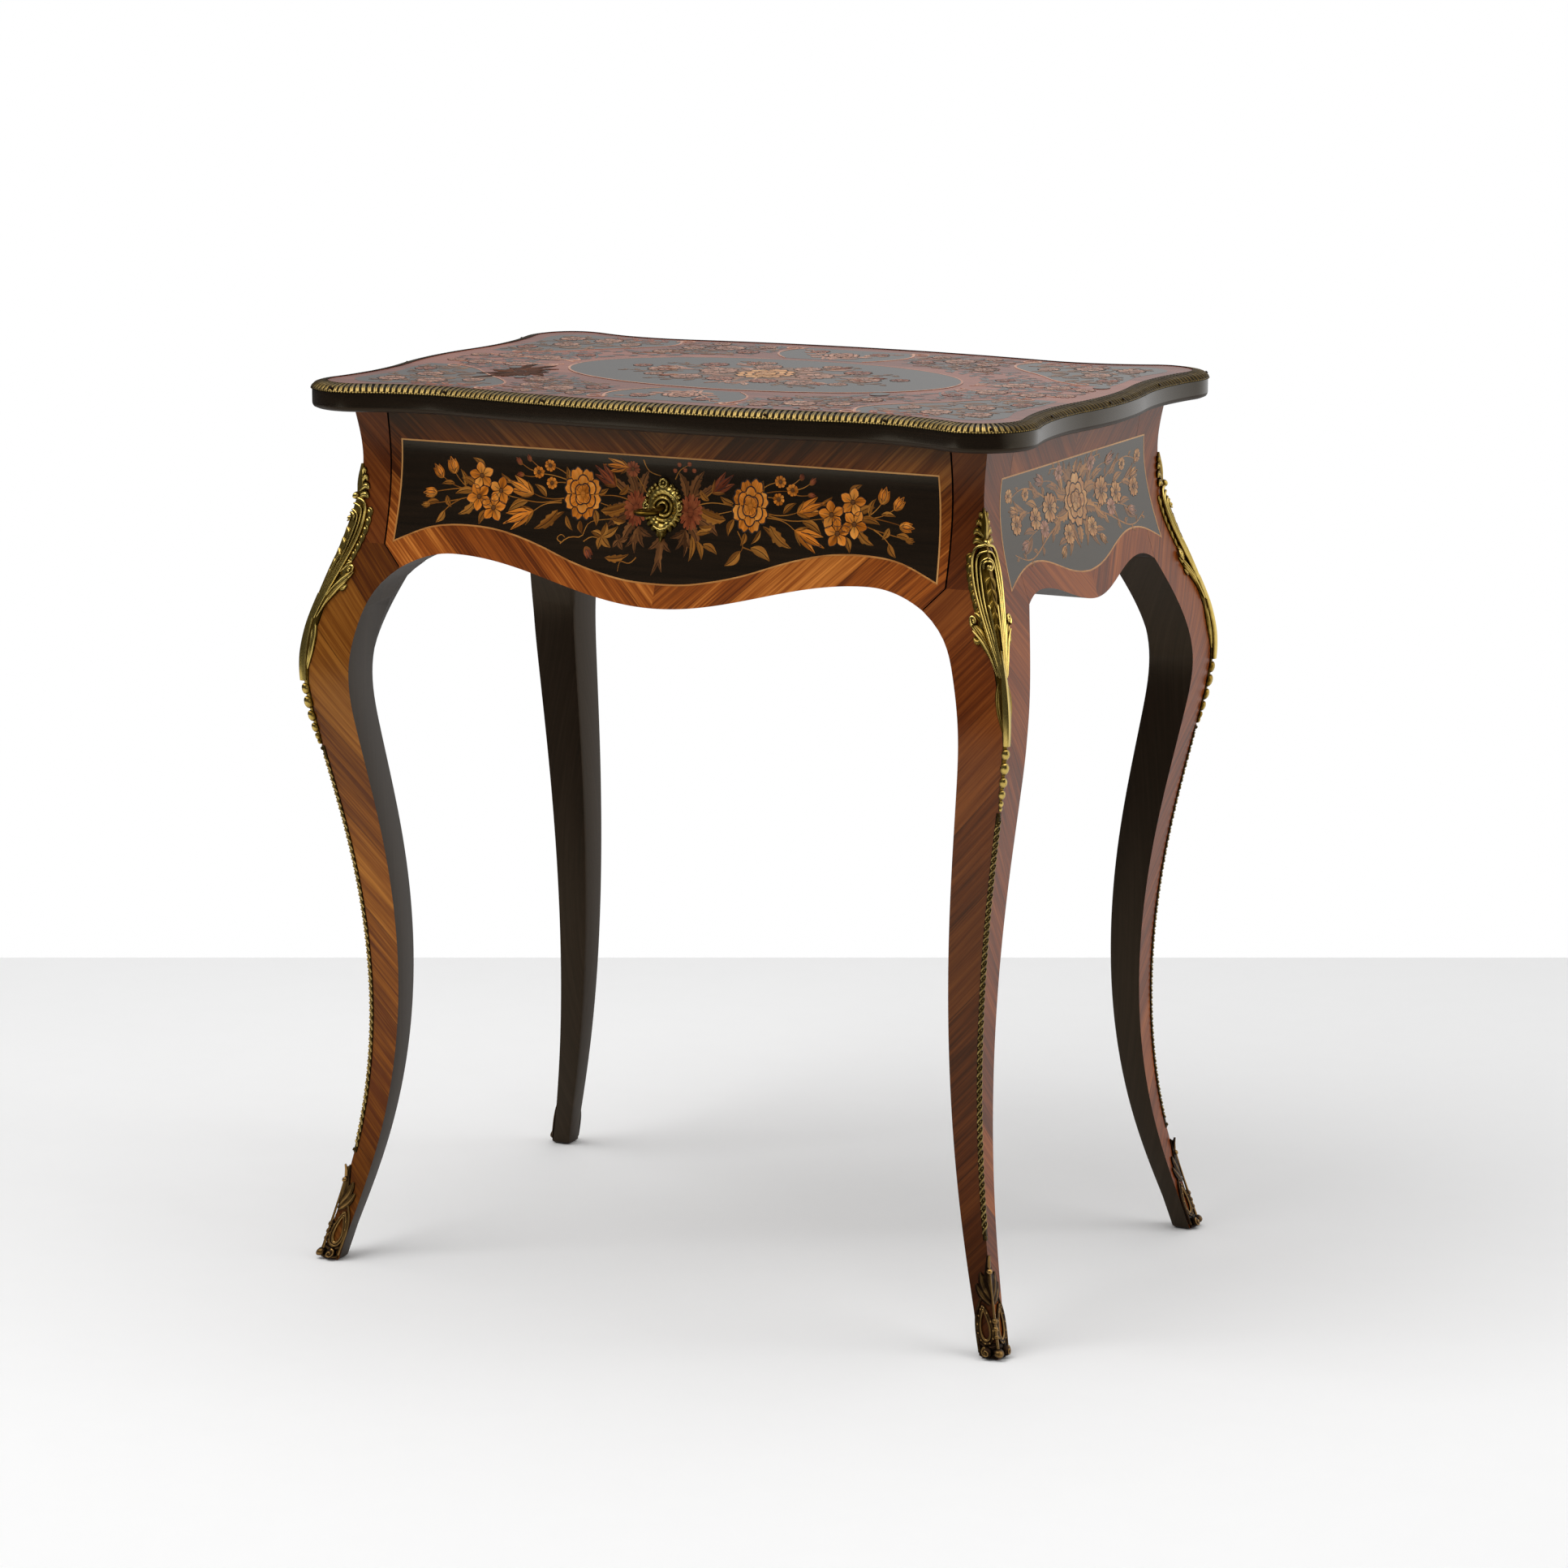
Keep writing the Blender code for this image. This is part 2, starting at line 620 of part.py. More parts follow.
def add_lock(material, key_material, drawer, key_axis, bolt_axis):
    """Case on the back of the drawer front, a bolt that rises from it, and the key that works it."""
    case_front = -DRAWER_FRONT_BACK_Y + FIT
    case_back = case_front + CASE_THICKNESS
    middle = (case_front + case_back) / 2
    case_top = UNDERSIDE - CASE_TOP_GAP
    half = CASE_WIDTH / 2
    case = add_piece(
        "lock_case",
        box((-half, case_front, LOCK_Z - CASE_BELOW_KEY), (half, case_back, case_top)),
        material, drawer,
    )
    slot_half = BOLT_WIDTH / 2 + FIT
    slot_depth = CHAMBER_THICKNESS / 2
    slot = box((-slot_half, middle - slot_depth, LOCK_Z), (slot_half, middle + slot_depth, UNDERSIDE))
    combine(case, "bolt_slot", slot, "DIFFERENCE")
    chamber = oval(CHAMBER_RADIUS, CHAMBER_RADIUS, (0.0, LOCK_Z), CHAMBER_FACETS)
    combine(case, "key_chamber", prism(chamber, middle - slot_depth, middle + slot_depth, "Y"), "DIFFERENCE")
    hole = oval(KEY_RADIUS + KEY_HOLE_SLACK, KEY_RADIUS + KEY_HOLE_SLACK, (0.0, LOCK_Z), KEY_HOLE_FACETS)
    combine(case, "case_keyhole", prism(hole, case_front - CASE_THICKNESS, middle, "Y"), "DIFFERENCE")

    bolt_half, bolt_depth = BOLT_WIDTH / 2, BOLT_THICKNESS / 2
    bolt = box(
        (-bolt_half, middle - bolt_depth, LOCK_Z + KEY_RADIUS + FIT),
        (bolt_half, middle + bolt_depth, case_top),
    )
    add_piece("lock_bolt", bolt, material, bolt_axis)

    tip = -face_y(LOCK_Z) - KEY_REACH
    shank = oval(KEY_RADIUS, KEY_RADIUS, (0.0, LOCK_Z), KEY_SHANK_FACETS)
    shank_start = tip + KEY_BOW_LENGTH - KEY_BOW_BAR
    mesh = prism(shank, shank_start, middle + bolt_depth, "Y")
    key = add_piece("key", mesh, key_material, key_axis, smooth_angle=SMOOTH_ANGLE)
    bow_centre = tip + KEY_BOW_LENGTH / 2
    rings = []
    for turn in (2 * math.pi * i / KEY_BOW_FACETS for i in range(KEY_BOW_FACETS)):
        across, along = math.cos(turn), math.sin(turn)
        def at(inset, rise):
            half_width, half_length = KEY_BOW_WIDTH / 2 - inset, KEY_BOW_LENGTH / 2 - inset
            return (across * half_width, bow_centre + along * half_length, LOCK_Z + rise)

        rise = KEY_BOW_THICKNESS / 2
        ridge = KEY_BOW_BAR / 2
        rings.append([at(0, 0), at(ridge, rise), at(KEY_BOW_BAR, 0), at(ridge, -rise)])
    combine(key, "key_bow", loft(rings, around=True), "UNION")
    bit = box(
        (0.0, middle - bolt_depth + FIT, LOCK_Z - KEY_BIT_WIDTH / 2),
        (KEY_BIT_LENGTH, middle + bolt_depth - FIT, LOCK_Z + KEY_BIT_WIDTH / 2),
    )
    combine(key, "key_bit", bit, "UNION")


def add_escutcheon(material, holder):
    """Domed oval plate bent to the drawer front, with a scalloped rim and a hole for the key."""
    hole = KEY_RADIUS + 2 * KEY_HOLE_SLACK
    rings = []
    for turn in (2 * math.pi * i / ESCUTCHEON_FACETS for i in range(ESCUTCHEON_FACETS)):
        across, up = math.cos(turn), math.sin(turn)
        scallops = ESCUTCHEON_LOBE_DEPTH * math.cos(ESCUTCHEON_LOBES * turn)
        half_width = ESCUTCHEON_WIDTH / 2 + scallops
        half_height = ESCUTCHEON_HEIGHT / 2 + scallops

        def at(share, proud):
            x = across * (hole + (half_width - hole) * share)
            z = LOCK_Z + up * (hole + (half_height - hole) * share)
            return (x, -face_y(z) - ESCUTCHEON_SEAT - proud, z)

        edge, relief = ESCUTCHEON_EDGE, ESCUTCHEON_RELIEF
        hollow = at(ESCUTCHEON_HOLLOW_AT, ESCUTCHEON_HOLLOW_RELIEF)
        crown = [at(ESCUTCHEON_CROWN_AT, relief), hollow, at(0, relief)]
        rings.append([at(1, 0), at(1, edge)] + crown + [at(0, 0)])
    add_piece("escutcheon", loft(rings, around=True), material, holder, smooth_angle=SMOOTH_ANGLE)


def circles_meet(centre, radius, other, other_radius):
    """The meeting point of two circles that lies on the right of the line from centre to other."""
    span = np.array(other) - np.array(centre)
    length = np.hypot(*span)
    along = (radius**2 - other_radius**2 + length**2) / (2 * length)
    aside = math.sqrt(radius**2 - along**2)
    unit = span / length
    return np.array(centre) + along * unit + aside * np.array([unit[1], -unit[0]])


def arc(centre, radius, start, end, count):
    """Points from one direction to another round a centre, the short way, without the last one."""
    first = math.atan2(*(np.array(start) - centre)[::-1])
    last = math.atan2(*(np.array(end) - centre)[::-1])
    sweep = (last - first + math.pi) % (2 * math.pi) - math.pi
    turns = [first + sweep * i / count for i in range(count)]
    return [(centre[0] + radius * math.cos(turn), centre[1] + radius * math.sin(turn)) for turn in turns]


def top_outline(grow, z):
    """Plan of the top as tangent arcs, bow, scoop, lobe, scoop, bow, grown outwards by a distance."""
    half_length, half_depth = TOP_LENGTH / 2, TOP_DEPTH / 2
    front_bow = np.array([0.0, half_depth - FRONT_BOW_RADIUS])
    side_bow = np.array([half_length - SIDE_BOW_RADIUS, 0.0])
    lobe = np.array([half_length - LOBE_RADIUS, half_depth - LOBE_RADIUS])
    side_scoop = circles_meet(
        side_bow, SIDE_BOW_RADIUS + SIDE_SCOOP_RADIUS, lobe, LOBE_RADIUS + SIDE_SCOOP_RADIUS
    )
    front_scoop = circles_meet(
        lobe, LOBE_RADIUS + FRONT_SCOOP_RADIUS, front_bow, FRONT_BOW_RADIUS + FRONT_SCOOP_RADIUS
    )
    count = TOP_ARC_STEPS
    quarter = arc(side_bow, SIDE_BOW_RADIUS + grow, side_bow + [1, 0], side_scoop, count["side_bow"])
    quarter += arc(side_scoop, SIDE_SCOOP_RADIUS - grow, side_bow, lobe, count["side_scoop"])
    quarter += arc(lobe, LOBE_RADIUS + grow, side_scoop, front_scoop, count["lobe"])
    quarter += arc(front_scoop, FRONT_SCOOP_RADIUS - grow, lobe, front_bow, count["front_scoop"])
    end = front_bow + [0, 1]
    quarter += arc(front_bow, FRONT_BOW_RADIUS + grow, front_scoop, end, count["front_bow"])
    quarter.append((0.0, half_depth + grow))
    half = quarter + [(-x, y) for x, y in quarter[-2::-1]]
    return [(x, y, z) for x, y in half] + [(x, -y, z) for x, y in half[-2:0:-1]]


def add_top(board_material, veneer_material, band_material, holder):
    rebate = HEIGHT - BAND_HEIGHT - FIT
    core = BAND_OVERHANG - BAND_WIDTH - FIT
    core_top = HEIGHT - VENEER_DROP - VENEER_THICKNESS - FIT
    cut = BOARD_ARRIS * CORNER_CUT
    sections = [
        (-BOARD_ARRIS, UNDERSIDE),
        (-cut, UNDERSIDE + cut),
        (0.0, UNDERSIDE + BOARD_ARRIS),
        (0.0, rebate),
        (core, rebate),
        (core, core_top),
    ]
    mesh = loft([top_outline(grow, z) for grow, z in sections])
    board = add_piece("top_board", mesh, board_material, holder, smooth_angle=SMOOTH_ANGLE)
    middle = -DRAWER_FRONT_BACK_Y + FIT + CASE_THICKNESS / 2
    half_x, half_y = BOLT_WIDTH / 2 + MORTISE_SLACK, BOLT_THICKNESS / 2 + MORTISE_SLACK
    depth = BOLT_TRAVEL - CASE_TOP_GAP + MORTISE_SLACK
    mortise = box(
        (-half_x, middle - half_y, UNDERSIDE - MORTISE_SLACK), (half_x, middle + half_y, UNDERSIDE + depth)
    )
    combine(board, "bolt_mortise", mortise, "DIFFERENCE")

    face = HEIGHT - VENEER_DROP
    mesh = loft([top_outline(core, z) for z in (face - VENEER_THICKNESS, face)])
    add_piece("top_marquetry", mesh, veneer_material, holder, smooth_angle=SMOOTH_ANGLE)

    foot = HEIGHT - BAND_HEIGHT
    rings = [
        top_outline(BAND_OVERHANG - BAND_WIDTH * inwards, foot + BAND_HEIGHT * up)
        for inwards, up in BAND_SECTION.values()
    ]
    mesh = loft(rings, around=True)
    add_piece("top_edge_band", mesh, band_material, holder, smooth_angle=SMOOTH_ANGLE)


def main():
    for old in list(bpy.data.objects):
        bpy.data.objects.remove(old, do_unlink=True)

    kingwood = finish("kingwood_veneer", (0.30, 0.11, 0.045), 0.30)
    ebonised = finish("ebonised_pearwood", (0.012, 0.011, 0.010), 0.22)
    marquetry = finish("floral_marquetry", (0.26, 0.11, 0.09), 0.32)
    oak = finish("drawer_oak", (0.36, 0.22, 0.11), 0.60)
    bronze = finish("gilt_bronze", (0.52, 0.38, 0.13), 0.34, 1.0)
    aged_bronze = finish("aged_bronze", (0.17, 0.11, 0.06), 0.42, 1.0)
    brass = finish("stamped_brass", (0.30, 0.24, 0.12), 0.40, 1.0)
    steel = finish("lock_steel", (0.36, 0.35, 0.33), 0.45, 1.0)

    table = empty("table", (0.0, 0.0, 0.0))
    drawer = empty("drawer_slide_axis", (0.0, -DRAWER_FRONT_BACK_Y, DRAWER_BASE), table)
    lift = LOCK_Z - DRAWER_BASE
    key_axis = empty("key_turn_axis", (0.0, 0.0, lift), drawer)
    bolt_axis = empty("bolt_slide_axis", (0.0, CASE_THICKNESS / 2, lift), drawer)

    for corner in CORNERS:
        add_leg(corner, kingwood, table)
        add_knee_mount(corner, bronze, table)
        add_edge_strip(corner, brass, table)
        add_foot_mount(corner, aged_bronze, table)
    add_aprons(kingwood, table)
    add_inner_frame(oak, table)
    add_drawer(kingwood, oak, drawer)
    add_lock(steel, bronze, drawer, key_axis, bolt_axis)
    add_escutcheon(bronze, drawer)
    add_top(ebonised, marquetry, brass, table)


if __name__ == "__main__":
    main()
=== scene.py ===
"""Dress and light the occasional table: veneers, marquetry, gilt bronze, the lock and a plain studio."""

import logging
import math
from collections.abc import Callable, Sequence
from dataclasses import dataclass, field, replace
from enum import Enum

import bmesh
import bpy
import numpy as np
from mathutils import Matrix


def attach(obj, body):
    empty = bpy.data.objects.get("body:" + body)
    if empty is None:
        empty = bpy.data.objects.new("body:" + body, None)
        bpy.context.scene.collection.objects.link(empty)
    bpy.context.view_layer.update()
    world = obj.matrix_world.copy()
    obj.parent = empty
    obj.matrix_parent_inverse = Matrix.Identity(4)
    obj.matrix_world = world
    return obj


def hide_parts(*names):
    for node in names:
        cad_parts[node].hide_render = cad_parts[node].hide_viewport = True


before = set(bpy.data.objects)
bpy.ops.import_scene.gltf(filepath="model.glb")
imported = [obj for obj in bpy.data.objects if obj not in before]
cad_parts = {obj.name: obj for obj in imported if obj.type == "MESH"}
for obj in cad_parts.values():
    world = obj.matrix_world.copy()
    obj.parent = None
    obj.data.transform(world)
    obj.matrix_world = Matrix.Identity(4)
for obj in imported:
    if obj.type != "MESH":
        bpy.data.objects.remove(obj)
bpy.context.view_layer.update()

log = logging.getLogger("occasional_table")
MM = 0.001
# How far plates and mounts reach into the wood behind them, in millimetres.
PLATE_BACK, MOUNT_BACK = -0.4, -0.25
# The height of the key's axis, in millimetres.
KEY_AXIS = 653.0
# How many points the top's outline gets, apart from the band's.
RIM_POINTS = 480

# Points in a row, as pairs or as one run of numbers.
Line = np.ndarray | Sequence[float] | Sequence[Sequence[float]]
# One number for all points, or one for each.
Tone = np.ndarray | float
# One number, or several spread along a line.
Spread = float | Sequence[float]


class Body(Enum):
    """The bodies that pieces ride on."""

    FRAME = "frame"
    DRAWER = "drawer"
    KEY = "key"


class Slot(Enum):
    """The record's material slots; each piece built here is made with one, though none is applied."""

    KINGWOOD = "kingwood_veneer"
    EBONISED = "ebonised_pearwood"
    MARQUETRY = "floral_marquetry"
    GILT = "gilt_bronze"
    AGED = "aged_bronze"
    BRASS = "stamped_brass"


class Face(Enum):
    """The four upright faces of the frieze, each seen from outside."""

    FRONT = "front"
    BACK = "back"
    LEFT = "left"
    RIGHT = "right"


# ---------------------------------------------------------------- helpers


def srgb(code: str) -> tuple[float, float, float, float]:
    """Turn an sRGB hex colour into the linear colour that shaders take.

    Args:
        code: Six hex digits after a hash.

    Returns:
        Linear red, green and blue, and an alpha of one.
    """
    parts = [int(code[i : i + 2], 16) / 255 for i in (1, 3, 5)]
    red, green, blue = (c / 12.92 if c <= 0.04045 else ((c + 0.055) / 1.055) ** 2.4 for c in parts)
    return red, green, blue, 1.0


def add(
    tree: bpy.types.NodeTree,
    kind: str,
    inputs: dict[str | int, object] | None = None,
    ramp: Sequence[tuple[float, tuple[float, float, float, float]]] = (),
    **settings: object,
) -> bpy.types.Node:
    """Add a node, set it and link it.

    Args:
        tree: The node tree to add to.
        kind: The node's Blender type.
        inputs: Values, sockets or nodes (for their first output) for its inputs, by name or number.
        ramp: Positions and colours of a colour ramp's stops.
        settings: The node's own properties.

    Returns:
        The new node.
    """
    node = tree.nodes.new(kind)
    for key, value in settings.items():
        setattr(node, key, value)
    for key, value in (inputs or {}).items():
        if isinstance(value, bpy.types.Node):
            value = value.outputs[0]
        if isinstance(value, bpy.types.NodeSocket):
            tree.links.new(value, node.inputs[key])
        else:
            node.inputs[key].default_value = value
    for i, (position, colour) in enumerate(ramp):
        stops = node.color_ramp.elements
        stop = stops[i] if i < 2 else stops.new(position)
        stop.position, stop.color = position, colour
    return node


def link(name: str, data: bpy.types.ID) -> bpy.types.Object:
    """Put a mesh, a light or a camera into the scene as an object, and give the object."""
    made = bpy.data.objects.new(name, data)
    bpy.context.collection.objects.link(made)
    return made


def natural_spline(knots: Line) -> Callable[[np.ndarray], np.ndarray]:
    """Fit a natural cubic spline.

    Args:
        knots: Pairs of place and value, in rising order of place.

    Returns:
        A function that gives the value at any place.
    """
    x, y = np.array(knots, float).T
    n, h = len(x), np.diff(x)
    matrix, right = np.zeros((n, n)), np.zeros(n)
    matrix[0, 0] = matrix[-1, -1] = 1
    for i in range(1, n - 1):
        matrix[i, i - 1 : i + 2] = h[i - 1], 2 * (h[i - 1] + h[i]), h[i]
        right[i] = 3 * ((y[i + 1] - y[i]) / h[i] - (y[i] - y[i - 1]) / h[i - 1])
    c = np.linalg.solve(matrix, right)
    d = np.diff(c) / (3 * h)
    b = np.diff(y) / h - h * (2 * c[:-1] + c[1:]) / 3

    def at(place: np.ndarray) -> np.ndarray:
        """Give the spline's value at a place."""
        place = np.asarray(place, float)
        i = np.clip(np.searchsorted(x, place) - 1, 0, n - 2)
        t = place - x[i]
        return y[i] + b[i] * t + c[i] * t**2 + d[i] * t**3

    return at


def lengths(line: np.ndarray) -> np.ndarray:
    """Give how far along a line each of its points lies."""
    return np.concatenate([[0], np.cumsum(np.linalg.norm(np.diff(line, axis=0), axis=1))])


def smooth(line: Line, count: int) -> np.ndarray:
    """Draw a smooth line through points.

    Args:
        line: The points.
        count: How many points the smooth line gets.

    Returns:
        Its points, spread along its length.
    """
    line = np.reshape(line, (-1, 2)).astype(float)
    length = lengths(line)
    places = np.linspace(0, length[-1], count)
    if len(line) == 2:
        return line[0] + (line[1] - line[0]) * (places / length[-1])[:, None]
    return np.stack([natural_spline(np.stack([length, column], axis=1))(places) for column in line.T], axis=1)


def across(line: np.ndarray, loop: bool = False) -> np.ndarray:
    """Give the direction to the left of a line, or of a closed one, at each of its points."""
    ahead = np.roll(line, -1, axis=0) - np.roll(line, 1, axis=0) if loop else np.gradient(line, axis=0)
    return np.stack([-ahead[:, 1], ahead[:, 0]], axis=1) / np.linalg.norm(ahead, axis=1)[:, None]


def ray(degrees: Tone) -> np.ndarray:
    """Give the direction at an angle, or one for each angle."""
    return np.stack([np.cos(np.radians(degrees)), np.sin(np.radians(degrees))], axis=-1)


def circle(count: int) -> np.ndarray:
    """Give points spread evenly round a circle of radius one."""
    return ray(np.linspace(0, 360, count, endpoint=False))


def spiral(
    centre: Sequence[float], start: float, end: float, first: float, turns: float, count: int = 18
) -> np.ndarray:
    """Draw a spiral inwards.

    Args:
        centre: Its middle.
        start: The radius that it starts at.
        end: The radius that it ends at.
        first: The direction that it starts in, in degrees.
        turns: How many turns it makes; negative is clockwise.
        count: How many points it gets.

    Returns:
        Its points.
    """
    t = np.linspace(0, 1, count)
    return np.array(centre) + (start + (end - start) * t)[:, None] * ray(first + 360 * turns * t)


def step(value: np.ndarray, start: float, end: float) -> np.ndarray:
    """Rise smoothly from 0 at start to 1 at end."""
    t = np.clip((np.asarray(value, float) - start) / (end - start), 0, 1)
    return t * t * (3 - 2 * t)


# ---------------------------------------------------------------- finishes


@dataclass(frozen=True)
class Finish:
    """A plain finish; the others build on it."""

    name: str
    colour: str
    roughness: float = 0.4
    metallic: float = 0.0
    ior: float = 1.5
    coat: float = 0.0
    coat_roughness: float = 0.1
    mottle: float = 0.1
    polish: str = "#ffffff"

    def material(self) -> bpy.types.Material:
        """Give the finish's material, made at first use."""
        made = bpy.data.materials.get(self.name)
        if made is None:
            made = bpy.data.materials.new(self.name)
            made.use_nodes = True
            self.dress(made.node_tree, self.shader(made.node_tree))
        return made

    def shader(self, tree: bpy.types.NodeTree) -> bpy.types.Node:
        """Set the shader's constants, and give the shader."""
        shader = tree.nodes["Principled BSDF"]
        shader.inputs["Base Color"].default_value = srgb(self.colour)
        shader.inputs["Roughness"].default_value = self.roughness
        shader.inputs["Metallic"].default_value = self.metallic
        if not self.metallic:
            shader.inputs["IOR"].default_value = self.ior
            shader.inputs["Specular Tint"].default_value = srgb(self.polish)
        shader.inputs["Coat Weight"].default_value = self.coat
        shader.inputs["Coat Roughness"].default_value = self.coat_roughness
        return shader

    def dress(self, tree: bpy.types.NodeTree, shader: bpy.types.Node) -> None:
        """Fill the material's node tree; a plain finish mottles its colour a little."""
        place = add(tree, "ShaderNodeTexCoord").outputs["Object"]
        # Mottling of about 40 mm, coarser than any grain: it only breaks the evenness.
        cloud = add(tree, "ShaderNodeTexNoise", {"Vector": place, "Scale": 25.0, "Detail": 4.0})
        base = srgb(self.colour)
        dark = tuple((1 - self.mottle) * c for c in base[:3]) + (1.0,)
        tint = add(tree, "ShaderNodeValToRGB", {"Fac": cloud}, ramp=[(0.3, dark), (0.7, base)])
        tree.links.new(tint.outputs[0], shader.inputs["Base Color"])


@dataclass(frozen=True)
class Wood(Finish):
    """A wood with streaks along its grain."""

    dark: str = "#2e150c"

    def streaks(
        self,
        tree: bpy.types.NodeTree,
        place: bpy.types.Node | bpy.types.NodeSocket,
        layers: Sequence[tuple[tuple[float, ...], float]],
        detail: float,
        roughness: float,
    ) -> bpy.types.Node:
        """Sum noises that are drawn out along the grain.

        Args:
            tree: The material's node tree.
            place: Where on the wood the shader is.
            layers: Each noise's scale on three axes, and its weight.
            detail: The noises' detail.
            roughness: The noises' roughness.

        Returns:
            The node that gives the sum.
        """
        total = None
        for scale, weight in layers:
            scaled = add(tree, "ShaderNodeVectorMath", {0: place, 1: scale}, operation="MULTIPLY")
            settings = {"Vector": scaled, "Scale": 1.0, "Detail": detail, "Roughness": roughness}
            noise = add(tree, "ShaderNodeTexNoise", settings)
            part = add(tree, "ShaderNodeMath", {0: noise, 1: weight}, operation="MULTIPLY")
            total = part if total is None else add(tree, "ShaderNodeMath", {0: total, 1: part}, operation="ADD")
        return total

    def surface(
        self,
        tree: bpy.types.NodeTree,
        shader: bpy.types.Node,
        colour: bpy.types.Node,
        height: bpy.types.Node,
        strength: float,
    ) -> None:
        """Link the colour, and the pores that follow the streaks.

        Args:
            tree: The material's node tree.
            shader: The material's shader.
            colour: Gives the colour.
            height: Gives the height of the pores.
            strength: How much the pores show.
        """
        tree.links.new(colour.outputs[0], shader.inputs["Base Color"])
        bump = add(tree, "ShaderNodeBump", {"Height": height, "Strength": strength, "Distance": 0.4 * MM})
        tree.links.new(bump.outputs[0], shader.inputs["Normal"])


@dataclass(frozen=True)
class Veneer(Wood):
    """A sawn veneer under yellowed polish: dark and light streaks along the grain, cut in leaves."""

    roughness: float = 0.32
    ior: float = 1.38
    polish: str = "#fff0d0"
    light: str = "#8a4a22"
    leaf: float = 48 * MM
    contrast: float = 1.0
    seam: float = 0.55

    def dress(self, tree: bpy.types.NodeTree, shader: bpy.types.Node) -> None:
        """Fill the material's node tree with streaks, leaves and seams."""
        grain = add(tree, "ShaderNodeUVMap", uv_map="Grain")
        tone = add(tree, "ShaderNodeAttribute", attribute_name="Tone")
        up = add(tree, "ShaderNodeSeparateXYZ", {0: grain}).outputs["Y"]
        leaf = add(tree, "ShaderNodeMath", {0: up, 1: self.leaf}, operation="DIVIDE")
        number = add(tree, "ShaderNodeMath", {0: leaf}, operation="FLOOR")
        within = add(tree, "ShaderNodeMath", {0: leaf}, operation="FRACT")
        chance = add(tree, "ShaderNodeTexWhiteNoise", {"W": number}, noise_dimensions="1D")
        shift = {0: chance.outputs["Color"], 1: (0.4, 0.0, 0.0)}
        shift = add(tree, "ShaderNodeVectorMath", shift, operation="MULTIPLY")
        moved = add(tree, "ShaderNodeVectorMath", {0: grain, 1: shift}, operation="ADD")
        # Streaks of 15 x 300 mm, 4 x 120 mm and 1.3 x 60 mm, the sizes of growth rings cut on the quarter.
        sizes = ((0.015, 0.30, 0.24), (0.004, 0.12, 0.42), (0.0013, 0.06, 0.34))
        layers = [((1 / along, 1 / wide, 1.0), weight) for wide, along, weight in sizes]
        total = self.streaks(tree, moved, layers, 2.0, 0.55)
        lift = {0: chance.outputs["Value"], 1: 0.16 * self.contrast, 2: -0.08 * self.contrast}
        lift = add(tree, "ShaderNodeMath", lift, operation="MULTIPLY_ADD")
        level = add(tree, "ShaderNodeMath", {0: total, 1: lift}, operation="ADD")
        stops = [(0.36, srgb(self.dark)), (0.66, srgb(self.light)), (0.5, srgb(self.colour))]
        colour = add(tree, "ShaderNodeValToRGB", {"Fac": level}, ramp=stops)
        edge = add(tree, "ShaderNodeMath", {0: within, 1: 0.5}, operation="SUBTRACT")
        edge = add(tree, "ShaderNodeMath", {0: edge}, operation="ABSOLUTE")
        # A joint between leaves shows as a dark line about 0.6 mm wide.
        joint = add(tree, "ShaderNodeMath", {0: edge, 1: 0.5 - 0.3 * MM / self.leaf}, operation="GREATER_THAN")
        dim = add(tree, "ShaderNodeMath", {0: joint, 1: -self.seam, 2: 1.0}, operation="MULTIPLY_ADD")
        shade = add(tree, "ShaderNodeVectorMath", {0: tone, "Scale": dim.outputs[0]}, operation="SCALE")
        final = add(tree, "ShaderNodeVectorMath", {0: colour, 1: shade}, operation="MULTIPLY")
        self.surface(tree, shader, final, total, 0.05)


@dataclass(frozen=True)
class Plate(Veneer):
    """A small plate of veneer, without seams."""

    roughness: float = 0.26
    ior: float = 1.5
    leaf: float = 0.5
    seam: float = 0.0


@dataclass(frozen=True)
class Bronze(Finish):
    """A cast or stamped metal: bright where it is rubbed, dark in its recesses."""

    metallic: float = 1.0
    recess: str = "#1c130a"
    worn: str = "#e8c98a"

    def dress(self, tree: bpy.types.NodeTree, shader: bpy.types.Node) -> None:
        """Fill the material's node tree with rubbed heights and dark recesses."""
        tone = add(tree, "ShaderNodeAttribute", attribute_name="Tone").outputs["Fac"]
        place = add(tree, "ShaderNodeTexCoord").outputs["Object"]
        # Patina in patches of about 8 mm, with finer specks in them.
        patch = {"Vector": place, "Scale": 125.0, "Detail": 5.0, "Roughness": 0.65}
        patch = add(tree, "ShaderNodeTexNoise", patch)
        spread = add(tree, "ShaderNodeMath", {0: patch, 1: 0.5, 2: -0.25}, operation="MULTIPLY_ADD")
        level = add(tree, "ShaderNodeMath", {0: tone, 1: spread}, operation="ADD")
        stops = [(0.12, srgb(self.recess)), (0.95, srgb(self.worn)), (0.52, srgb(self.colour))]
        colour = add(tree, "ShaderNodeValToRGB", {"Fac": level}, ramp=stops)
        tree.links.new(colour.outputs[0], shader.inputs["Base Color"])
        # A recess is duller than what is rubbed.
        ends = {"From Min": 0.1, "From Max": 1.0, "To Min": self.roughness + 0.22, "To Max": self.roughness}
        rough = add(tree, "ShaderNodeMapRange", {"Value": level} | ends)
        tree.links.new(rough.outputs[0], shader.inputs["Roughness"])


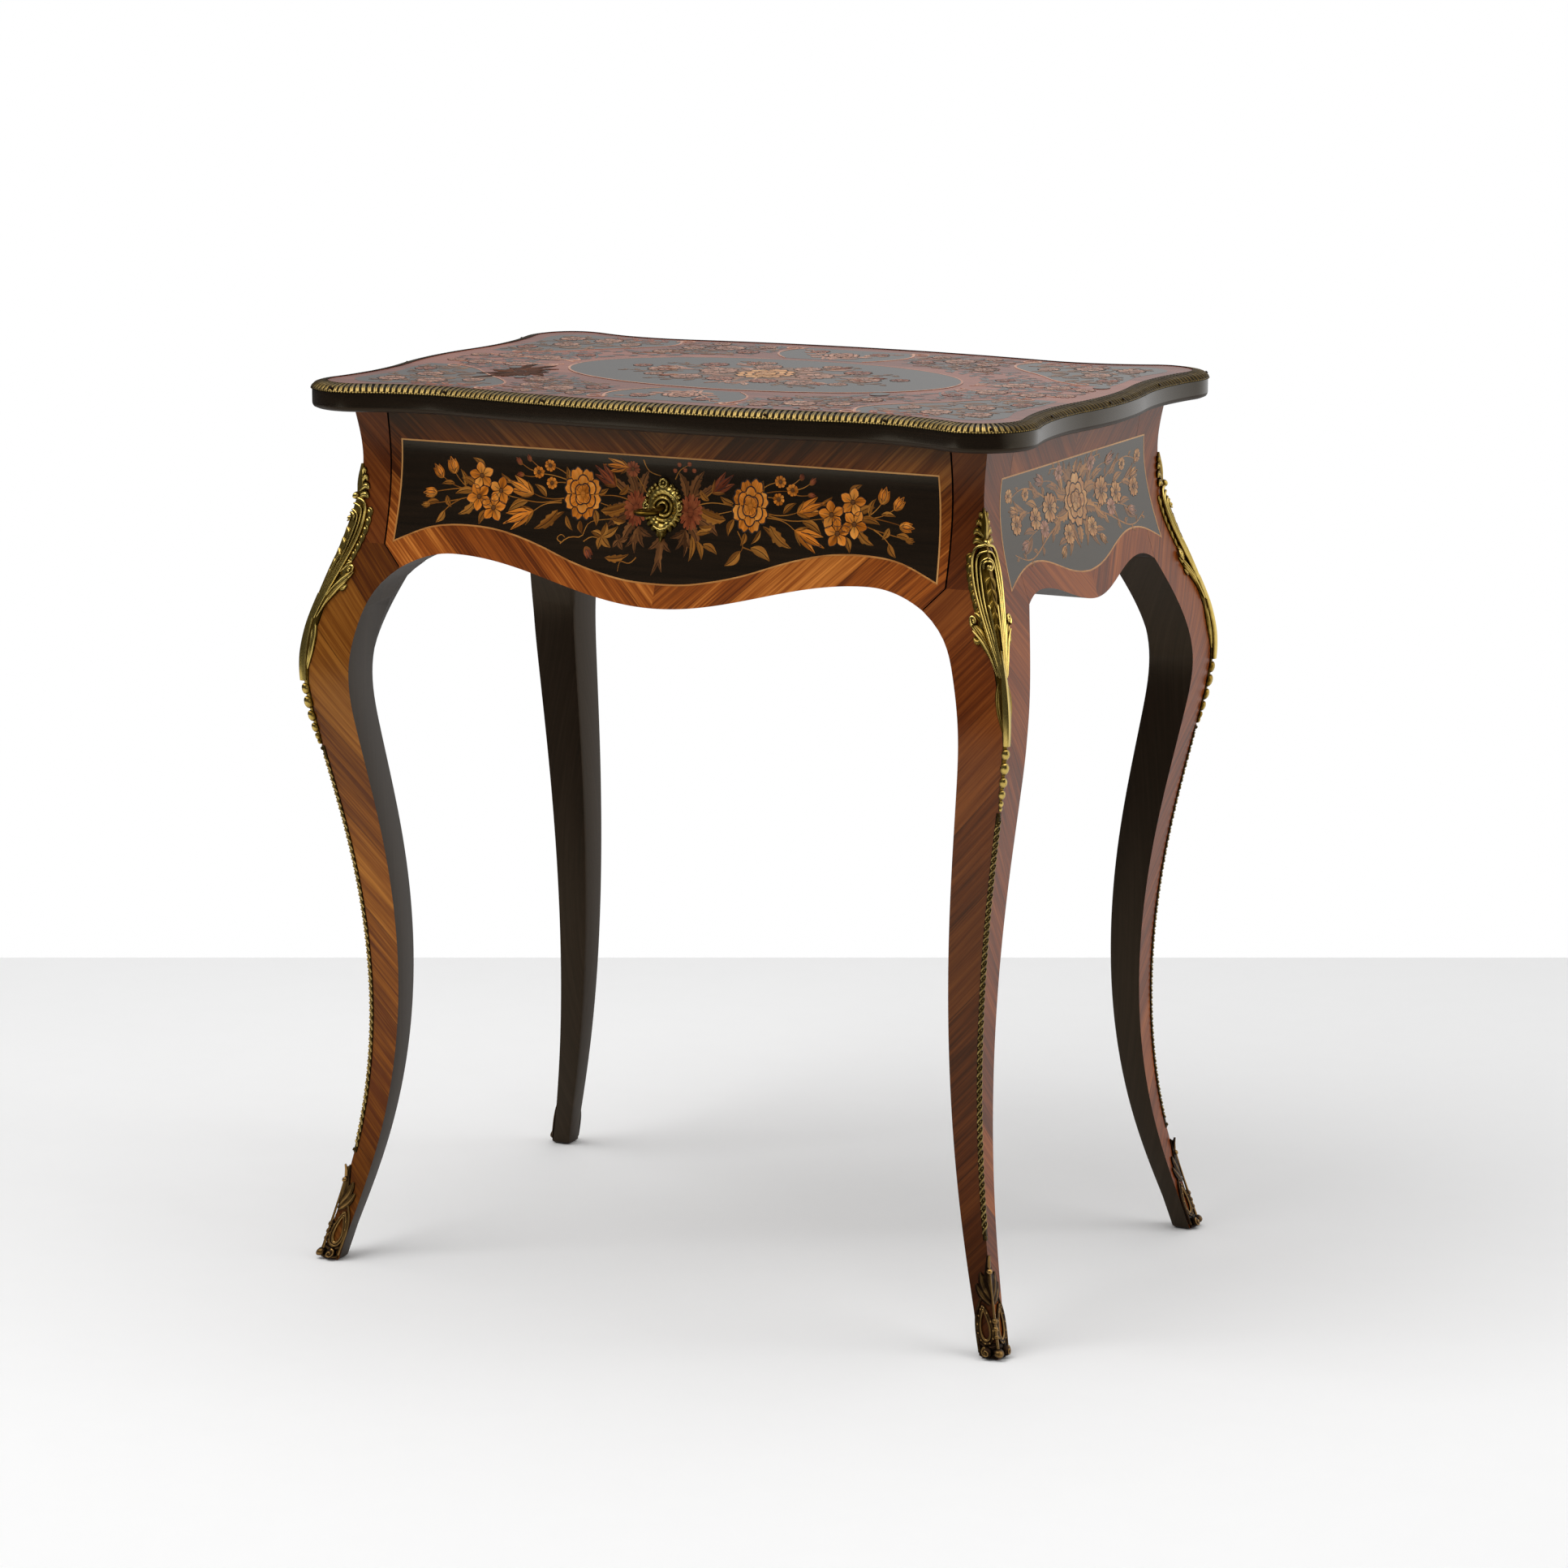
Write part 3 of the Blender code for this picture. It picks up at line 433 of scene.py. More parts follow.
@dataclass(frozen=True)
class Plank(Wood):
    """A planed board without polish: fibres along one axis of the table."""

    roughness: float = 0.7
    dark: str = "#6d4f2f"
    along: int = 0

    def dress(self, tree: bpy.types.NodeTree, shader: bpy.types.Node) -> None:
        """Fill the material's node tree with fibres."""
        place = add(tree, "ShaderNodeTexCoord").outputs["Object"]
        # Fibres of 2 x 90 mm, with slower bands of 14 x 400 mm, each for half.
        sizes = ((0.002, 0.09), (0.014, 0.4))
        layers = [(tuple(1 / (run if i == self.along else wide) for i in range(3)), 0.5) for wide, run in sizes]
        total = self.streaks(tree, place, layers, 3.0, 0.5)
        stops = [(0.38, srgb(self.dark)), (0.62, srgb(self.colour))]
        colour = add(tree, "ShaderNodeValToRGB", {"Fac": total}, ramp=stops)
        self.surface(tree, shader, colour, total, 0.2)


# Kingwood under old wax: reddish brown, striped, and glossy enough to mirror a window softly.
KINGWOOD = Veneer("kingwood_crossbanding", "#6a300d", dark="#481b05", light="#8a491b", contrast=1.15)
# The same wood, more golden.
GOLDEN_KINGWOOD = Veneer("kingwood_golden", "#834811", dark="#592809", light="#ac6b26", contrast=1.3)
# And where it is between the two: reddish, with golden streaks.
WARM = Veneer("kingwood_warm", "#783b0f", dark="#481d06", light="#ab682a", contrast=1.6)
# Rosewood ground of the top: pinker than the kingwood and more evenly striped.
ROSEWOOD = Veneer("rosewood_ground", "#7c4030", 0.24, ior=1.5, dark="#5c2c20", light="#94543e", leaf=0.16, seam=0.25)
# Pearwood stained black and polished: nearly black, with a clear gloss.
EBONISED = Plate(
    "ebonised_pearwood_polished", "#1d150e", 0.16, coat=0.1, coat_roughness=0.05, dark="#150f0a", light="#261b12"
)
# The same stain rubbed down to a satin: inside the legs and under the edges.
SATIN = Plate(
    "ebonised_pearwood_satin", "#1b120c", 0.42, ior=1.38, polish="#ffe2ba", dark="#110d09", light="#241b14"
)
# Boxwood stringing: pale yellow orange lines.
BOXWOOD = Plate("boxwood_stringing", "#c98a4a", dark="#a86a34", light="#dba464")
# Fruitwood plates of the flowers: warm orange tan, shaded in hot sand.
FRUITWOOD = Plate("fruitwood_petals", "#e8872a", dark="#ad5d10", light="#f0a046")
# Sycamore leaves, once stained green, faded to a golden brown.
LEAFWOOD = Plate("faded_sycamore_leaves", "#a06424", dark="#744212", light="#c08238")
# Padouk petals: the red of the carnations.
REDWOOD = Plate("padouk_petals", "#96492a", dark="#6a2c18", light="#b0623a")
# Walnut sprays: quiet brown.
WALNUT = Plate("walnut_sprays", "#6e4424", dark="#4a2b16", light="#8a5a31")
# Walnut that has darkened and lost its polish: a dull red brown.
STAINED = Plate("walnut_darkened", "#42200f", 0.7, ior=1.3, dark="#2a130a", light="#5a301a")
# Tulipwood scrolls of the top: pinkish tan.
TULIPWOOD = Plate("tulipwood_scrolls", "#b27b62", dark="#945a40", light="#cd9676")
# Paler woods that stand in for the bright ones on the table's sides.
PALED = {FRUITWOOD: BOXWOOD, REDWOOD: TULIPWOOD}
# Engraved lines filled with dark mastic: dull and nearly black.
MASTIC = Finish("engraved_mastic", "#24160d", 0.5)
# Oak inside: pale and dry, never polished.
OAK_ACROSS = Plank("drawer_oak_across", "#a37f55", along=0)
OAK_DEEP = Plank("drawer_oak_front_to_back", "#a37f55", along=1)
# Fire-gilt bronze, worn: warm gold on the heights, dark brown in the chasing.
GILT = Bronze("gilt_bronze_chased", "#765a1e", 0.22, recess="#171005", worn="#dabe6a")
# Bronze that has lost its gilding: dark brown with a few bright edges.
AGED = Bronze("aged_bronze_chased", "#2b1d13", 0.3, recess="#0c0805", worn="#a07c48")
# Stamped brass: tarnished olive, brighter on its ridges.
BRASS = Bronze("stamped_brass_tarnished", "#4c3d1e", 0.28, recess="#0e0a05", worn="#c4a765")
# Forged and filed steel of the lock: grey, with a dull shine.
STEEL = Bronze("lock_steel_filed", "#8a8782", 0.34, recess="#3c3a37", worn="#b5b2ac")
# Painted floor: pale grey, with hardly any gloss.
PAINT = Finish("painted_floor", "#fafafa", 0.7, mottle=0.01)


# ---------------------------------------------------------------- meshes


class Shape:
    """Gathers grids of points into one mesh, each with its grain and its tone.

    The grain is a UV map in metres along and across the grain. The tone shades a wood (1 leaves it as it is):
    the sand shading of marquetry, and painted light and shade on the legs and frieze boards. It tells a metal's
    heights (1) from its recesses (0), with painted light on some gilt mounts.
    """

    def __init__(self, name: str) -> None:
        """Start an empty piece."""
        self.name = name
        self.points: list[np.ndarray] = []
        self.grains: list[np.ndarray] = []
        self.tones: list[np.ndarray] = []
        self.faces: list[Sequence[int]] = []
        self.slots: list[int] = []
        self.finishes: list[Finish] = []
        self.count = 0

    def keep(self, points: np.ndarray, grain: np.ndarray | None, tone: Tone) -> np.ndarray:
        """Keep points with their grain and tone, and give their numbers."""
        number = self.count + np.arange(points[..., 0].size).reshape(points.shape[:-1])
        self.count += number.size
        self.points.append(points.reshape(-1, 3))
        self.grains.append(np.zeros((number.size, 2)) if grain is None else grain.reshape(-1, 2))
        self.tones.append(np.broadcast_to(tone, number.shape).reshape(-1))
        return number

    def face(self, corners: list[list[int]], finish: Finish) -> None:
        """Lay faces between point numbers."""
        if finish not in self.finishes:
            self.finishes.append(finish)
        self.faces.extend(corners)
        self.slots.extend([self.finishes.index(finish)] * len(corners))

    def join(self, index: np.ndarray, finish: Finish) -> None:
        """Lay faces between neighbouring rows and columns of a grid of point numbers."""
        quads = np.stack([index[:-1, :-1], index[:-1, 1:], index[1:, 1:], index[1:, :-1]], axis=-1)
        self.face(quads.reshape(-1, 4).tolist(), finish)

    def sheet(
        self,
        points: np.ndarray,
        finish: Finish,
        grain: np.ndarray | None = None,
        tone: Tone = 1.0,
        around: bool = False,
    ) -> np.ndarray:
        """Add a grid of four-sided faces.

        Args:
            points: Rows by columns by 3.
            finish: What the faces are made of.
            grain: Rows by columns by 2, or none.
            tone: Rows by columns, or one number.
            around: Whether the columns close into a ring.

        Returns:
            The numbers of the grid's points.
        """
        index = self.keep(points, grain, tone)
        self.join(np.concatenate([index, index[:, :1]], axis=1) if around else index, finish)
        return index

    def polygon(self, points: np.ndarray, finish: Finish, grain: np.ndarray | None = None) -> None:
        """Add one flat face with its own points."""
        self.face([self.keep(points, grain, 1.0).tolist()], finish)

    def slab(
        self, top: np.ndarray, back: np.ndarray, finish: Finish, grain: np.ndarray | None = None, tone: Tone = 1.0
    ) -> None:
        """Add a closed plate between two grids of the same size.

        Args:
            top: The seen face, rows by columns by 3.
            back: The hidden face, the same size.
            finish: What it is made of.
            grain: The grain on both faces.
            tone: The tone on both faces.
        """
        over = self.sheet(top, finish, grain, tone)
        turned = None if grain is None else grain[:, ::-1]
        tone = np.broadcast_to(tone, top.shape[:2])[:, ::-1]
        under = self.sheet(back[:, ::-1], finish, turned, tone)[:, ::-1]

        def rim(index: np.ndarray) -> np.ndarray:
            """Give the point numbers round a grid, closed."""
            return np.concatenate([index[0, :-1], index[:-1, -1], index[-1, :0:-1], index[:0:-1, 0], index[:1, 0]])

        self.join(np.stack([rim(over), rim(under)]), finish)

    def tube(
        self,
        rings: np.ndarray,
        finish: Finish,
        grain: np.ndarray | None = None,
        tone: Tone = 1.0,
        loop: bool = False,
    ) -> None:
        """Add a closed tube.

        Args:
            rings: Rings by points round by 3.
            finish: What it is made of.
            grain: The grain, rings by points by 2, or none.
            tone: The tone, rings by points, or one number.
            loop: Whether the last ring joins the first, in place of caps.
        """
        index = self.sheet(rings, finish, grain, tone, around=True)
        if loop:
            ends = index[[-1, 0]]
            self.join(np.concatenate([ends, ends[:, :1]], axis=1), finish)
        else:
            self.face([index[0][::-1].tolist(), index[-1].tolist()], finish)

    def mesh(self, weld: bool = False) -> bpy.types.Mesh:
        """Give the gathered faces as a mesh whose normals point outwards.

        Args:
            weld: Whether grids that meet are joined.

        Returns:
            The mesh, with its finishes, grain and tone.
        """
        mesh = bpy.data.meshes.new(self.name)
        mesh.from_pydata(np.concatenate(self.points).tolist(), [], self.faces)
        for finish in self.finishes:
            mesh.materials.append(finish.material())
        mesh.polygons.foreach_set("material_index", self.slots)
        corner = np.zeros(len(mesh.loops), int)
        mesh.loops.foreach_get("vertex_index", corner)
        mesh.uv_layers.new(name="Grain").data.foreach_set("uv", np.concatenate(self.grains)[corner].ravel())
        tone = np.concatenate(self.tones)[corner]
        colour = np.stack([tone, tone, tone, np.ones_like(tone)], axis=1).ravel()
        mesh.color_attributes.new("Tone", "FLOAT_COLOR", "CORNER").data.foreach_set("color", colour)
        work = bmesh.new()
        work.from_mesh(mesh)
        if weld:
            bmesh.ops.remove_doubles(work, verts=work.verts, dist=MM * MM)
        bmesh.ops.recalc_face_normals(work, faces=work.faces)
        work.to_mesh(mesh)
        work.free()
        return mesh

    def make(
        self, body: Body, slot: Slot, nodes: Sequence[str] = (), weld: bool = False, sharp: float = 35.0
    ) -> bpy.types.Object:
        """Turn what was gathered into a piece.

        Args:
            body: The body that the piece rides on.
            slot: Not used.
            nodes: The CAD nodes that it stands for.
            weld: Whether grids that meet are joined.
            sharp: The angle, in degrees, above which an edge stays sharp.

        Returns:
            The piece.
        """
        mesh = self.mesh(weld)
        mesh.shade_smooth()
        mesh.set_sharp_from_angle(angle=math.radians(sharp))
        piece = link(self.name, mesh)
        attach(piece, body.value)
        if nodes:
            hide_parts(*nodes)
        log.info("%s: %d faces", self.name, len(mesh.polygons))
        return piece


def cut(piece: bpy.types.Object, name: str, rings: np.ndarray) -> None:
    """Cut a hole into a piece.

    Args:
        piece: The piece that gets the hole.
        name: What the hole is.
        rings: The hole's two end rings.
    """
    tool = Shape(name)
    # A tone of 0 leaves the walls of the hole in shadow.
    tool.tube(rings, MASTIC, tone=0.0)
    cutter = link(name, tool.mesh())
    change = piece.modifiers.new("cut", "BOOLEAN")
    change.operation, change.solver, change.object = "DIFFERENCE", "EXACT", cutter
    bpy.context.view_layer.update()
    whole = bpy.data.meshes.new_from_object(piece.evaluated_get(bpy.context.evaluated_depsgraph_get()))
    piece.modifiers.remove(change)
    whole.name = piece.data.name
    piece.data = whole
    bpy.data.objects.remove(cutter)


def cut_keyhole(piece: bpy.types.Object, radius: float = 2.7 * MM, front: float = -0.25, back: float = -0.10) -> None:
    """Cut the round keyhole, along Y, into a piece of the drawer's front."""
    ring = radius * circle(24)
    rings = [np.column_stack([ring[:, 0], np.full(24, y), ring[:, 1] + KEY_AXIS * MM]) for y in (front, back)]
    cut(piece, "keyhole", np.stack(rings))


# ---------------------------------------------------------------- the table's curves


@dataclass
class Form:
    """The curves that the table's pieces share, in metres."""

    cabriole: tuple[tuple[float, float], ...] = (
        (0.0, 0.0), (0.1, -0.0231), (0.215, -0.0329), (0.36, -0.0208), (0.45, -0.0041), (0.508, 0.0027),
        (0.585, -0.014), (0.678, -0.0338), (0.718, -0.0288),
    )
    half_length: float = 0.3115
    half_depth: float = 0.209
    frame_top: float = 0.7177
    ankle: float = 0.0167
    ankle_z: float = 0.030
    knee: float = 0.0454
    knee_rise: float = 0.560
    ear_tip: float = 0.590
    ear_top: float = 0.608
    ear_x: float = 0.2345
    ear_low_x: float = 0.545
    ear_low_y: float = 0.490
    post_x: float = 0.252
    post_y: float = 0.128
    top_length: float = 0.638
    top_depth: float = 0.434
    lobe: float = 0.0435
    front_bow: float = 0.944
    front_scoop: float = 0.154
    side_bow: float = 0.328
    side_scoop: float = 0.247
    swell: Callable[[np.ndarray], np.ndarray] = field(init=False)

    def __post_init__(self) -> None:
        """Fit the cabriole curve."""
        self.swell = natural_spline(self.cabriole)

    def out_x(self, z: np.ndarray) -> np.ndarray:
        """How far the side faces stand from the middle at a height."""
        return self.half_length + self.swell(z)

    def out_y(self, z: np.ndarray) -> np.ndarray:
        """How far the front and back faces stand from the middle at a height."""
        return self.half_depth + self.swell(z)

    def leg_width(self, z: np.ndarray) -> np.ndarray:
        """How wide a leg's face is at a height."""
        return self.ankle + (self.knee - self.ankle) * np.clip((z - self.ankle_z) / self.knee_rise, 0, 1)

    def leg_inner_x(self, z: np.ndarray) -> np.ndarray:
        """Where a leg's front face ends towards the middle."""
        tip = self.ear_tip
        ear = np.clip((z - self.ear_low_x) / (tip - self.ear_low_x), 0, 1) ** 3
        low = self.out_x(z) - self.leg_width(z) - (self.out_x(tip) - self.leg_width(tip) - self.ear_x) * ear
        rise = self.ear_x + (self.post_x - self.ear_x) * np.clip((z - tip) / (self.ear_top - tip), 0, 1)
        return np.where(z > tip, rise, low)

    def leg_inner_y(self, z: np.ndarray) -> np.ndarray:
        """Where a leg's side face ends towards the middle."""
        tip = self.ear_tip
        ear = np.clip((z - self.ear_low_y) / (tip - self.ear_low_y), 0, 1) ** 1.5
        low = self.out_y(z) - self.leg_width(z) - (self.out_y(tip) - self.leg_width(tip) - self.post_y) * ear
        return np.where(z > tip, self.post_y, low)

    def front_edge(self, a: np.ndarray) -> np.ndarray:
        """The lower edge of the front and of the back, which rises again where it meets the legs."""
        rise = np.clip((np.abs(a) - self.ear_x) / (self.post_x - self.ear_x), 0, None)
        return self.scallop(a, 0.575, 0.6045, 0.186, self.ear_x) + rise * (self.ear_top - self.ear_tip)

    def side_edge(self, a: np.ndarray) -> np.ndarray:
        """The lower edge of the sides."""
        return self.scallop(a, 0.577, 0.5975, 0.100, self.post_y)

    def scallop(self, a: np.ndarray, drop: float, arch: float, arch_at: float, tip: float) -> np.ndarray:
        """Give a scalloped lower edge: a drop in the middle, an arch on each side of it, and a tip at each leg.

        Args:
            a: The place along the face from its middle.
            drop: The height of the middle.
            arch: The height of the arches.
            arch_at: Where the arches peak.
            tip: Where the edge meets the legs.

        Returns:
            The heights of the edge.
        """
        a = np.abs(a)
        inner = drop + (arch - drop) * (1 - np.cos(math.pi * np.minimum(a / arch_at, 1))) / 2
        outer = arch - (arch - self.ear_tip) * np.clip((a - arch_at) / (tip - arch_at), 0, 1) ** 2
        return np.where(a <= arch_at, inner, outer)

    def place(
        self, face: Face, a: np.ndarray, z: np.ndarray, h: Tone = 0.0, flat: float | None = None
    ) -> np.ndarray:
        """Place points on a face of the frieze.

        Args:
            face: Which face.
            a: The place along it, to the right as seen from outside.
            z: The height.
            h: How far they stand out of it.
            flat: How far from the table's middle they lie, if not on the face.

        Returns:
            The points, in the table's frame.
        """
        a, z, h = np.broadcast_arrays(a, z, h)
        sign = 1 if face in (Face.BACK, Face.RIGHT) else -1
        if face in (Face.FRONT, Face.BACK):
            out = self.out_y(z) + h if flat is None else np.full(z.shape, flat)
            return np.stack([-sign * a, sign * out, z], axis=-1)
        out = self.out_x(z) + h if flat is None else np.full(z.shape, flat)
        return np.stack([sign * out, sign * a, z], axis=-1)

    def rim(self, count: int) -> tuple[np.ndarray, np.ndarray]:
        """Give the top's outline.

        Args:
            count: How many points, evenly spread.

        Returns:
            The points and the outward directions at them.
        """
        half_x, half_y = self.top_length / 2, self.top_depth / 2
        bow, end = np.array([0, half_y - self.front_bow]), np.array([half_x - self.side_bow, 0])
        lobe = np.array([half_x - self.lobe, half_y - self.lobe])

        def meet(centre: np.ndarray, radius: float, other: np.ndarray, other_radius: float) -> np.ndarray:
            """Give the outer crossing of two circles."""
            span = other - centre
            length = np.hypot(*span)
            along = (radius**2 - other_radius**2 + length**2) / (2 * length)
            unit = span / length
            return centre + along * unit + math.sqrt(radius**2 - along**2) * np.array([unit[1], -unit[0]])

        def arc(centre: np.ndarray, radius: float, start: np.ndarray, stop: np.ndarray) -> np.ndarray:
            """Give points along an arc, the short way from one direction to another."""
            first = math.atan2(*(start - centre)[::-1])
            turn = (math.atan2(*(stop - centre)[::-1]) - first + math.pi) % (2 * math.pi) - math.pi
            angle = first + turn * np.linspace(0, 1, 400)
            return centre + radius * np.stack([np.cos(angle), np.sin(angle)], axis=1)

        side = meet(end, self.side_bow + self.side_scoop, lobe, self.lobe + self.side_scoop)
        front = meet(lobe, self.lobe + self.front_scoop, bow, self.front_bow + self.front_scoop)
        arcs = (
            (end, self.side_bow, end + [1, 0], side),
            (side, self.side_scoop, end, lobe),
            (lobe, self.lobe, side, front),
            (front, self.front_scoop, lobe, bow),
            (bow, self.front_bow, front, bow + [0, 1]),
        )
        quarter = np.concatenate([arc(*each)[min(i, 1) :] for i, each in enumerate(arcs)])
        half = np.concatenate([quarter, (quarter * [-1, 1])[::-1][1:]])
        whole = np.concatenate([half, (half * [1, -1])[::-1][1:]])
        length = lengths(whole)
        places = np.linspace(0, length[-1], count, endpoint=False)
        points = np.stack([np.interp(places, length, column) for column in whole.T], axis=1)
        return points, -across(points, loop=True)


FORM = Form()


def diagonal(a: np.ndarray, z: np.ndarray, seed: float, angle: float) -> np.ndarray:
    """Lay a grain that rises outwards from the middle of a face.

    Args:
        a: The place along the face.
        z: The height.
        seed: Where in the log the veneer is cut.
        angle: How steeply the grain rises, in degrees.

    Returns:
        The grain at each point.
    """
    c, s = ray(angle)
    a = np.abs(a)
    return np.stack([a * c + z * s + 1.7 * seed, z * c - a * s + 0.9 * seed], axis=-1)


# ---------------------------------------------------------------- the wooden frame


@dataclass
class Leg:
    """A cabriole leg, veneered on its two outer faces and ebonised on the inner ones."""

    name: str
    right: int
    back: int
    seed: float
    veneer: Veneer = KINGWOOD
    # Painted light and shade on the front faces: their tone on the shin, on the knee and under the top.
    painted_shin_light: float = 0.62
    painted_knee_light: float = 1.06
    painted_post_shade: float = 0.84
    # The foot is darker where the veneer is stained.
    foot_tone: float = 0.5
    # Painted light: the side faces are lighter, for the light that falls on them.
    painted_side_light: float = 1.45
    grain_rise: float = 47.0
    patch: float = 0.605
    post_core: float = 0.2545
    chamfer: float = 2 * MM
    inner_round: float = 3 * MM

    def build(self) -> None:
        """Build and dress the leg."""
        share, r, bend = np.linspace(0, 1, 5), self.inner_round, 0.293 * self.inner_round
        rows = np.linspace(0.002, FORM.ear_tip, 90), [0.599, FORM.ear_top], np.linspace(0.612, FORM.frame_top, 24)
        z = np.concatenate([[0.0], *rows])
        # The sole is chamfered.
        inset = np.where(z < MM, self.chamfer, 0.0)
        out_x, out_y = FORM.out_x(z) - inset, FORM.out_y(z) - inset
        in_x, in_y = FORM.leg_inner_x(z) + inset, FORM.leg_inner_y(z) + inset
        width = FORM.leg_width(z)
        core_x = np.maximum(out_x - width + inset, np.where(z > FORM.ear_tip, self.post_core, in_x))
        core_y = np.maximum(out_y - width + inset, in_y)
        front_x = out_x[:, None] + (in_x - out_x)[:, None] * share
        side_y = out_y[:, None] + (in_y - out_y)[:, None] * share
        inner_x = np.stack([in_x, in_x, core_x + bend, core_x + r, out_x], axis=1)
        inner_y = np.stack([out_y, core_y + r, core_y + bend, in_y, in_y], axis=1)
        tall = z[:, None] + 0 * share

        def upright(x: np.ndarray, y: np.ndarray) -> np.ndarray:
            """Place a grid of the leg's points at this corner."""
            return np.stack(np.broadcast_arrays(self.right * x, self.back * y, z[:, None]), axis=-1)

        # Painted light and shade: the veneer is darker on the shin, lighter on the knee, where light falls,
        # and darker under the top, in its shadow. At the foot it is darker still, where it is stained.
        tone = self.painted_shin_light + (self.painted_knee_light - self.painted_shin_light) * step(z, 0.3, 0.55)
        tone = tone + (self.painted_post_shade - self.painted_knee_light) * step(z, 0.57, 0.66)
        tone = tone * (self.foot_tone + (1 - self.foot_tone) * step(z, 0.05, 0.16))
        tone = tone[:, None] + 0 * share
        shape = Shape(self.name)
        face, grain = upright(front_x, out_y[:, None]), diagonal(front_x, tall, self.seed, self.grain_rise)
        knee = int(np.searchsorted(z, self.patch))
        low, high = np.s_[: knee + 1], np.s_[knee:]
        shape.sheet(face[low], self.veneer, grain[low], tone[low])
        shape.sheet(face[high], KINGWOOD, grain[high] + 0.5, tone[high])
        grain = diagonal(side_y, tall, self.seed + 0.37, self.grain_rise)
        # Painted light: the side faces take a raised tone.
        shape.sheet(upright(out_x[:, None], side_y), KINGWOOD, grain, self.painted_side_light)
        arris, inside = upright(out_x[:, None], out_y[:, None]), upright(inner_x, inner_y)
        shape.sheet(inside, SATIN, np.stack([tall, inner_x + inner_y], axis=-1))
        for end in (0, -1):
            shape.polygon(np.concatenate([arris[end], inside[end]]), SATIN)
        shape.make(Body.FRAME, Slot.KINGWOOD, [self.name], weld=True, sharp=28)


@dataclass
class FriezeBoard:
    """A board of the frieze: concave, scalloped below and crossbanded from its middle."""

    name: str
    face: Face
    half: float
    inner: float
    top: float
    body: Body = Body.FRAME
    gap: float = 0.0
    seed: float = 0.0
    # Painted shade and light: the veneer's tone just under the top, in its shadow, in the middle and low down.
    painted_top_shadow: float = 1.0
    painted_middle_light: float = 1.4
    painted_low_light: float = 1.6
    veneer: Finish = KINGWOOD
    grain_rise: float = 43.0

    def edge(self, a: np.ndarray) -> np.ndarray:
        """The board's lower edge."""
        if self.face in (Face.FRONT, Face.BACK):
            return FORM.front_edge(a) + np.where(np.abs(a) > FORM.ear_x, self.gap, 0)
        return FORM.side_edge(a)

    def build(self, nodes: Sequence[str]) -> bpy.types.Object:
        """Build and dress the board.

        Args:
            nodes: The CAD nodes that it stands for.

        Returns:
            The piece.
        """
        shape = Shape(self.name)
        share = np.linspace(0, 1, 30)[:, None]
        tip, ear = min(self.half, FORM.ear_x), min(self.half, FORM.ear_x + 0.1 * MM)
        places = np.unique(np.concatenate([np.linspace(0, tip, 50), np.linspace(ear, self.half, 6)]))
        low = self.edge(places)
        z = low + (self.top - low) * share
        for side in (-1, 1):
            a = np.broadcast_to(side * places, z.shape)
            grain = diagonal(a, z, self.seed + (0.41 if side > 0 else 0.0), self.grain_rise)
            # Painted shade and light: the veneer is dark just under the top, in the top's shadow,
            # and lighter and warmer below, where light falls.
            tone = self.painted_top_shadow + (self.painted_middle_light - self.painted_top_shadow) * step(0.717 - z, 0.0, 0.026)
            tone = tone + (self.painted_low_light - self.painted_middle_light) * step(0.695 - z, 0.0, 0.085)
            seen, hidden = FORM.place(self.face, a, z), FORM.place(self.face, a, z, flat=self.inner)
            shape.sheet(seen, self.veneer, grain, tone)
            shape.sheet(hidden, OAK_ACROSS)
            for rim in (np.s_[0, :], np.s_[-1, :], np.s_[:, -1]):
                shape.sheet(np.stack([seen[rim], hidden[rim]]), SATIN)
        return shape.make(self.body, Slot.KINGWOOD, nodes, weld=True, sharp=28)


# ---------------------------------------------------------------- the top


def level(points: np.ndarray, z: float) -> np.ndarray:
    """Lift flat points to a height."""
    return np.column_stack([points, np.full(len(points), z)])


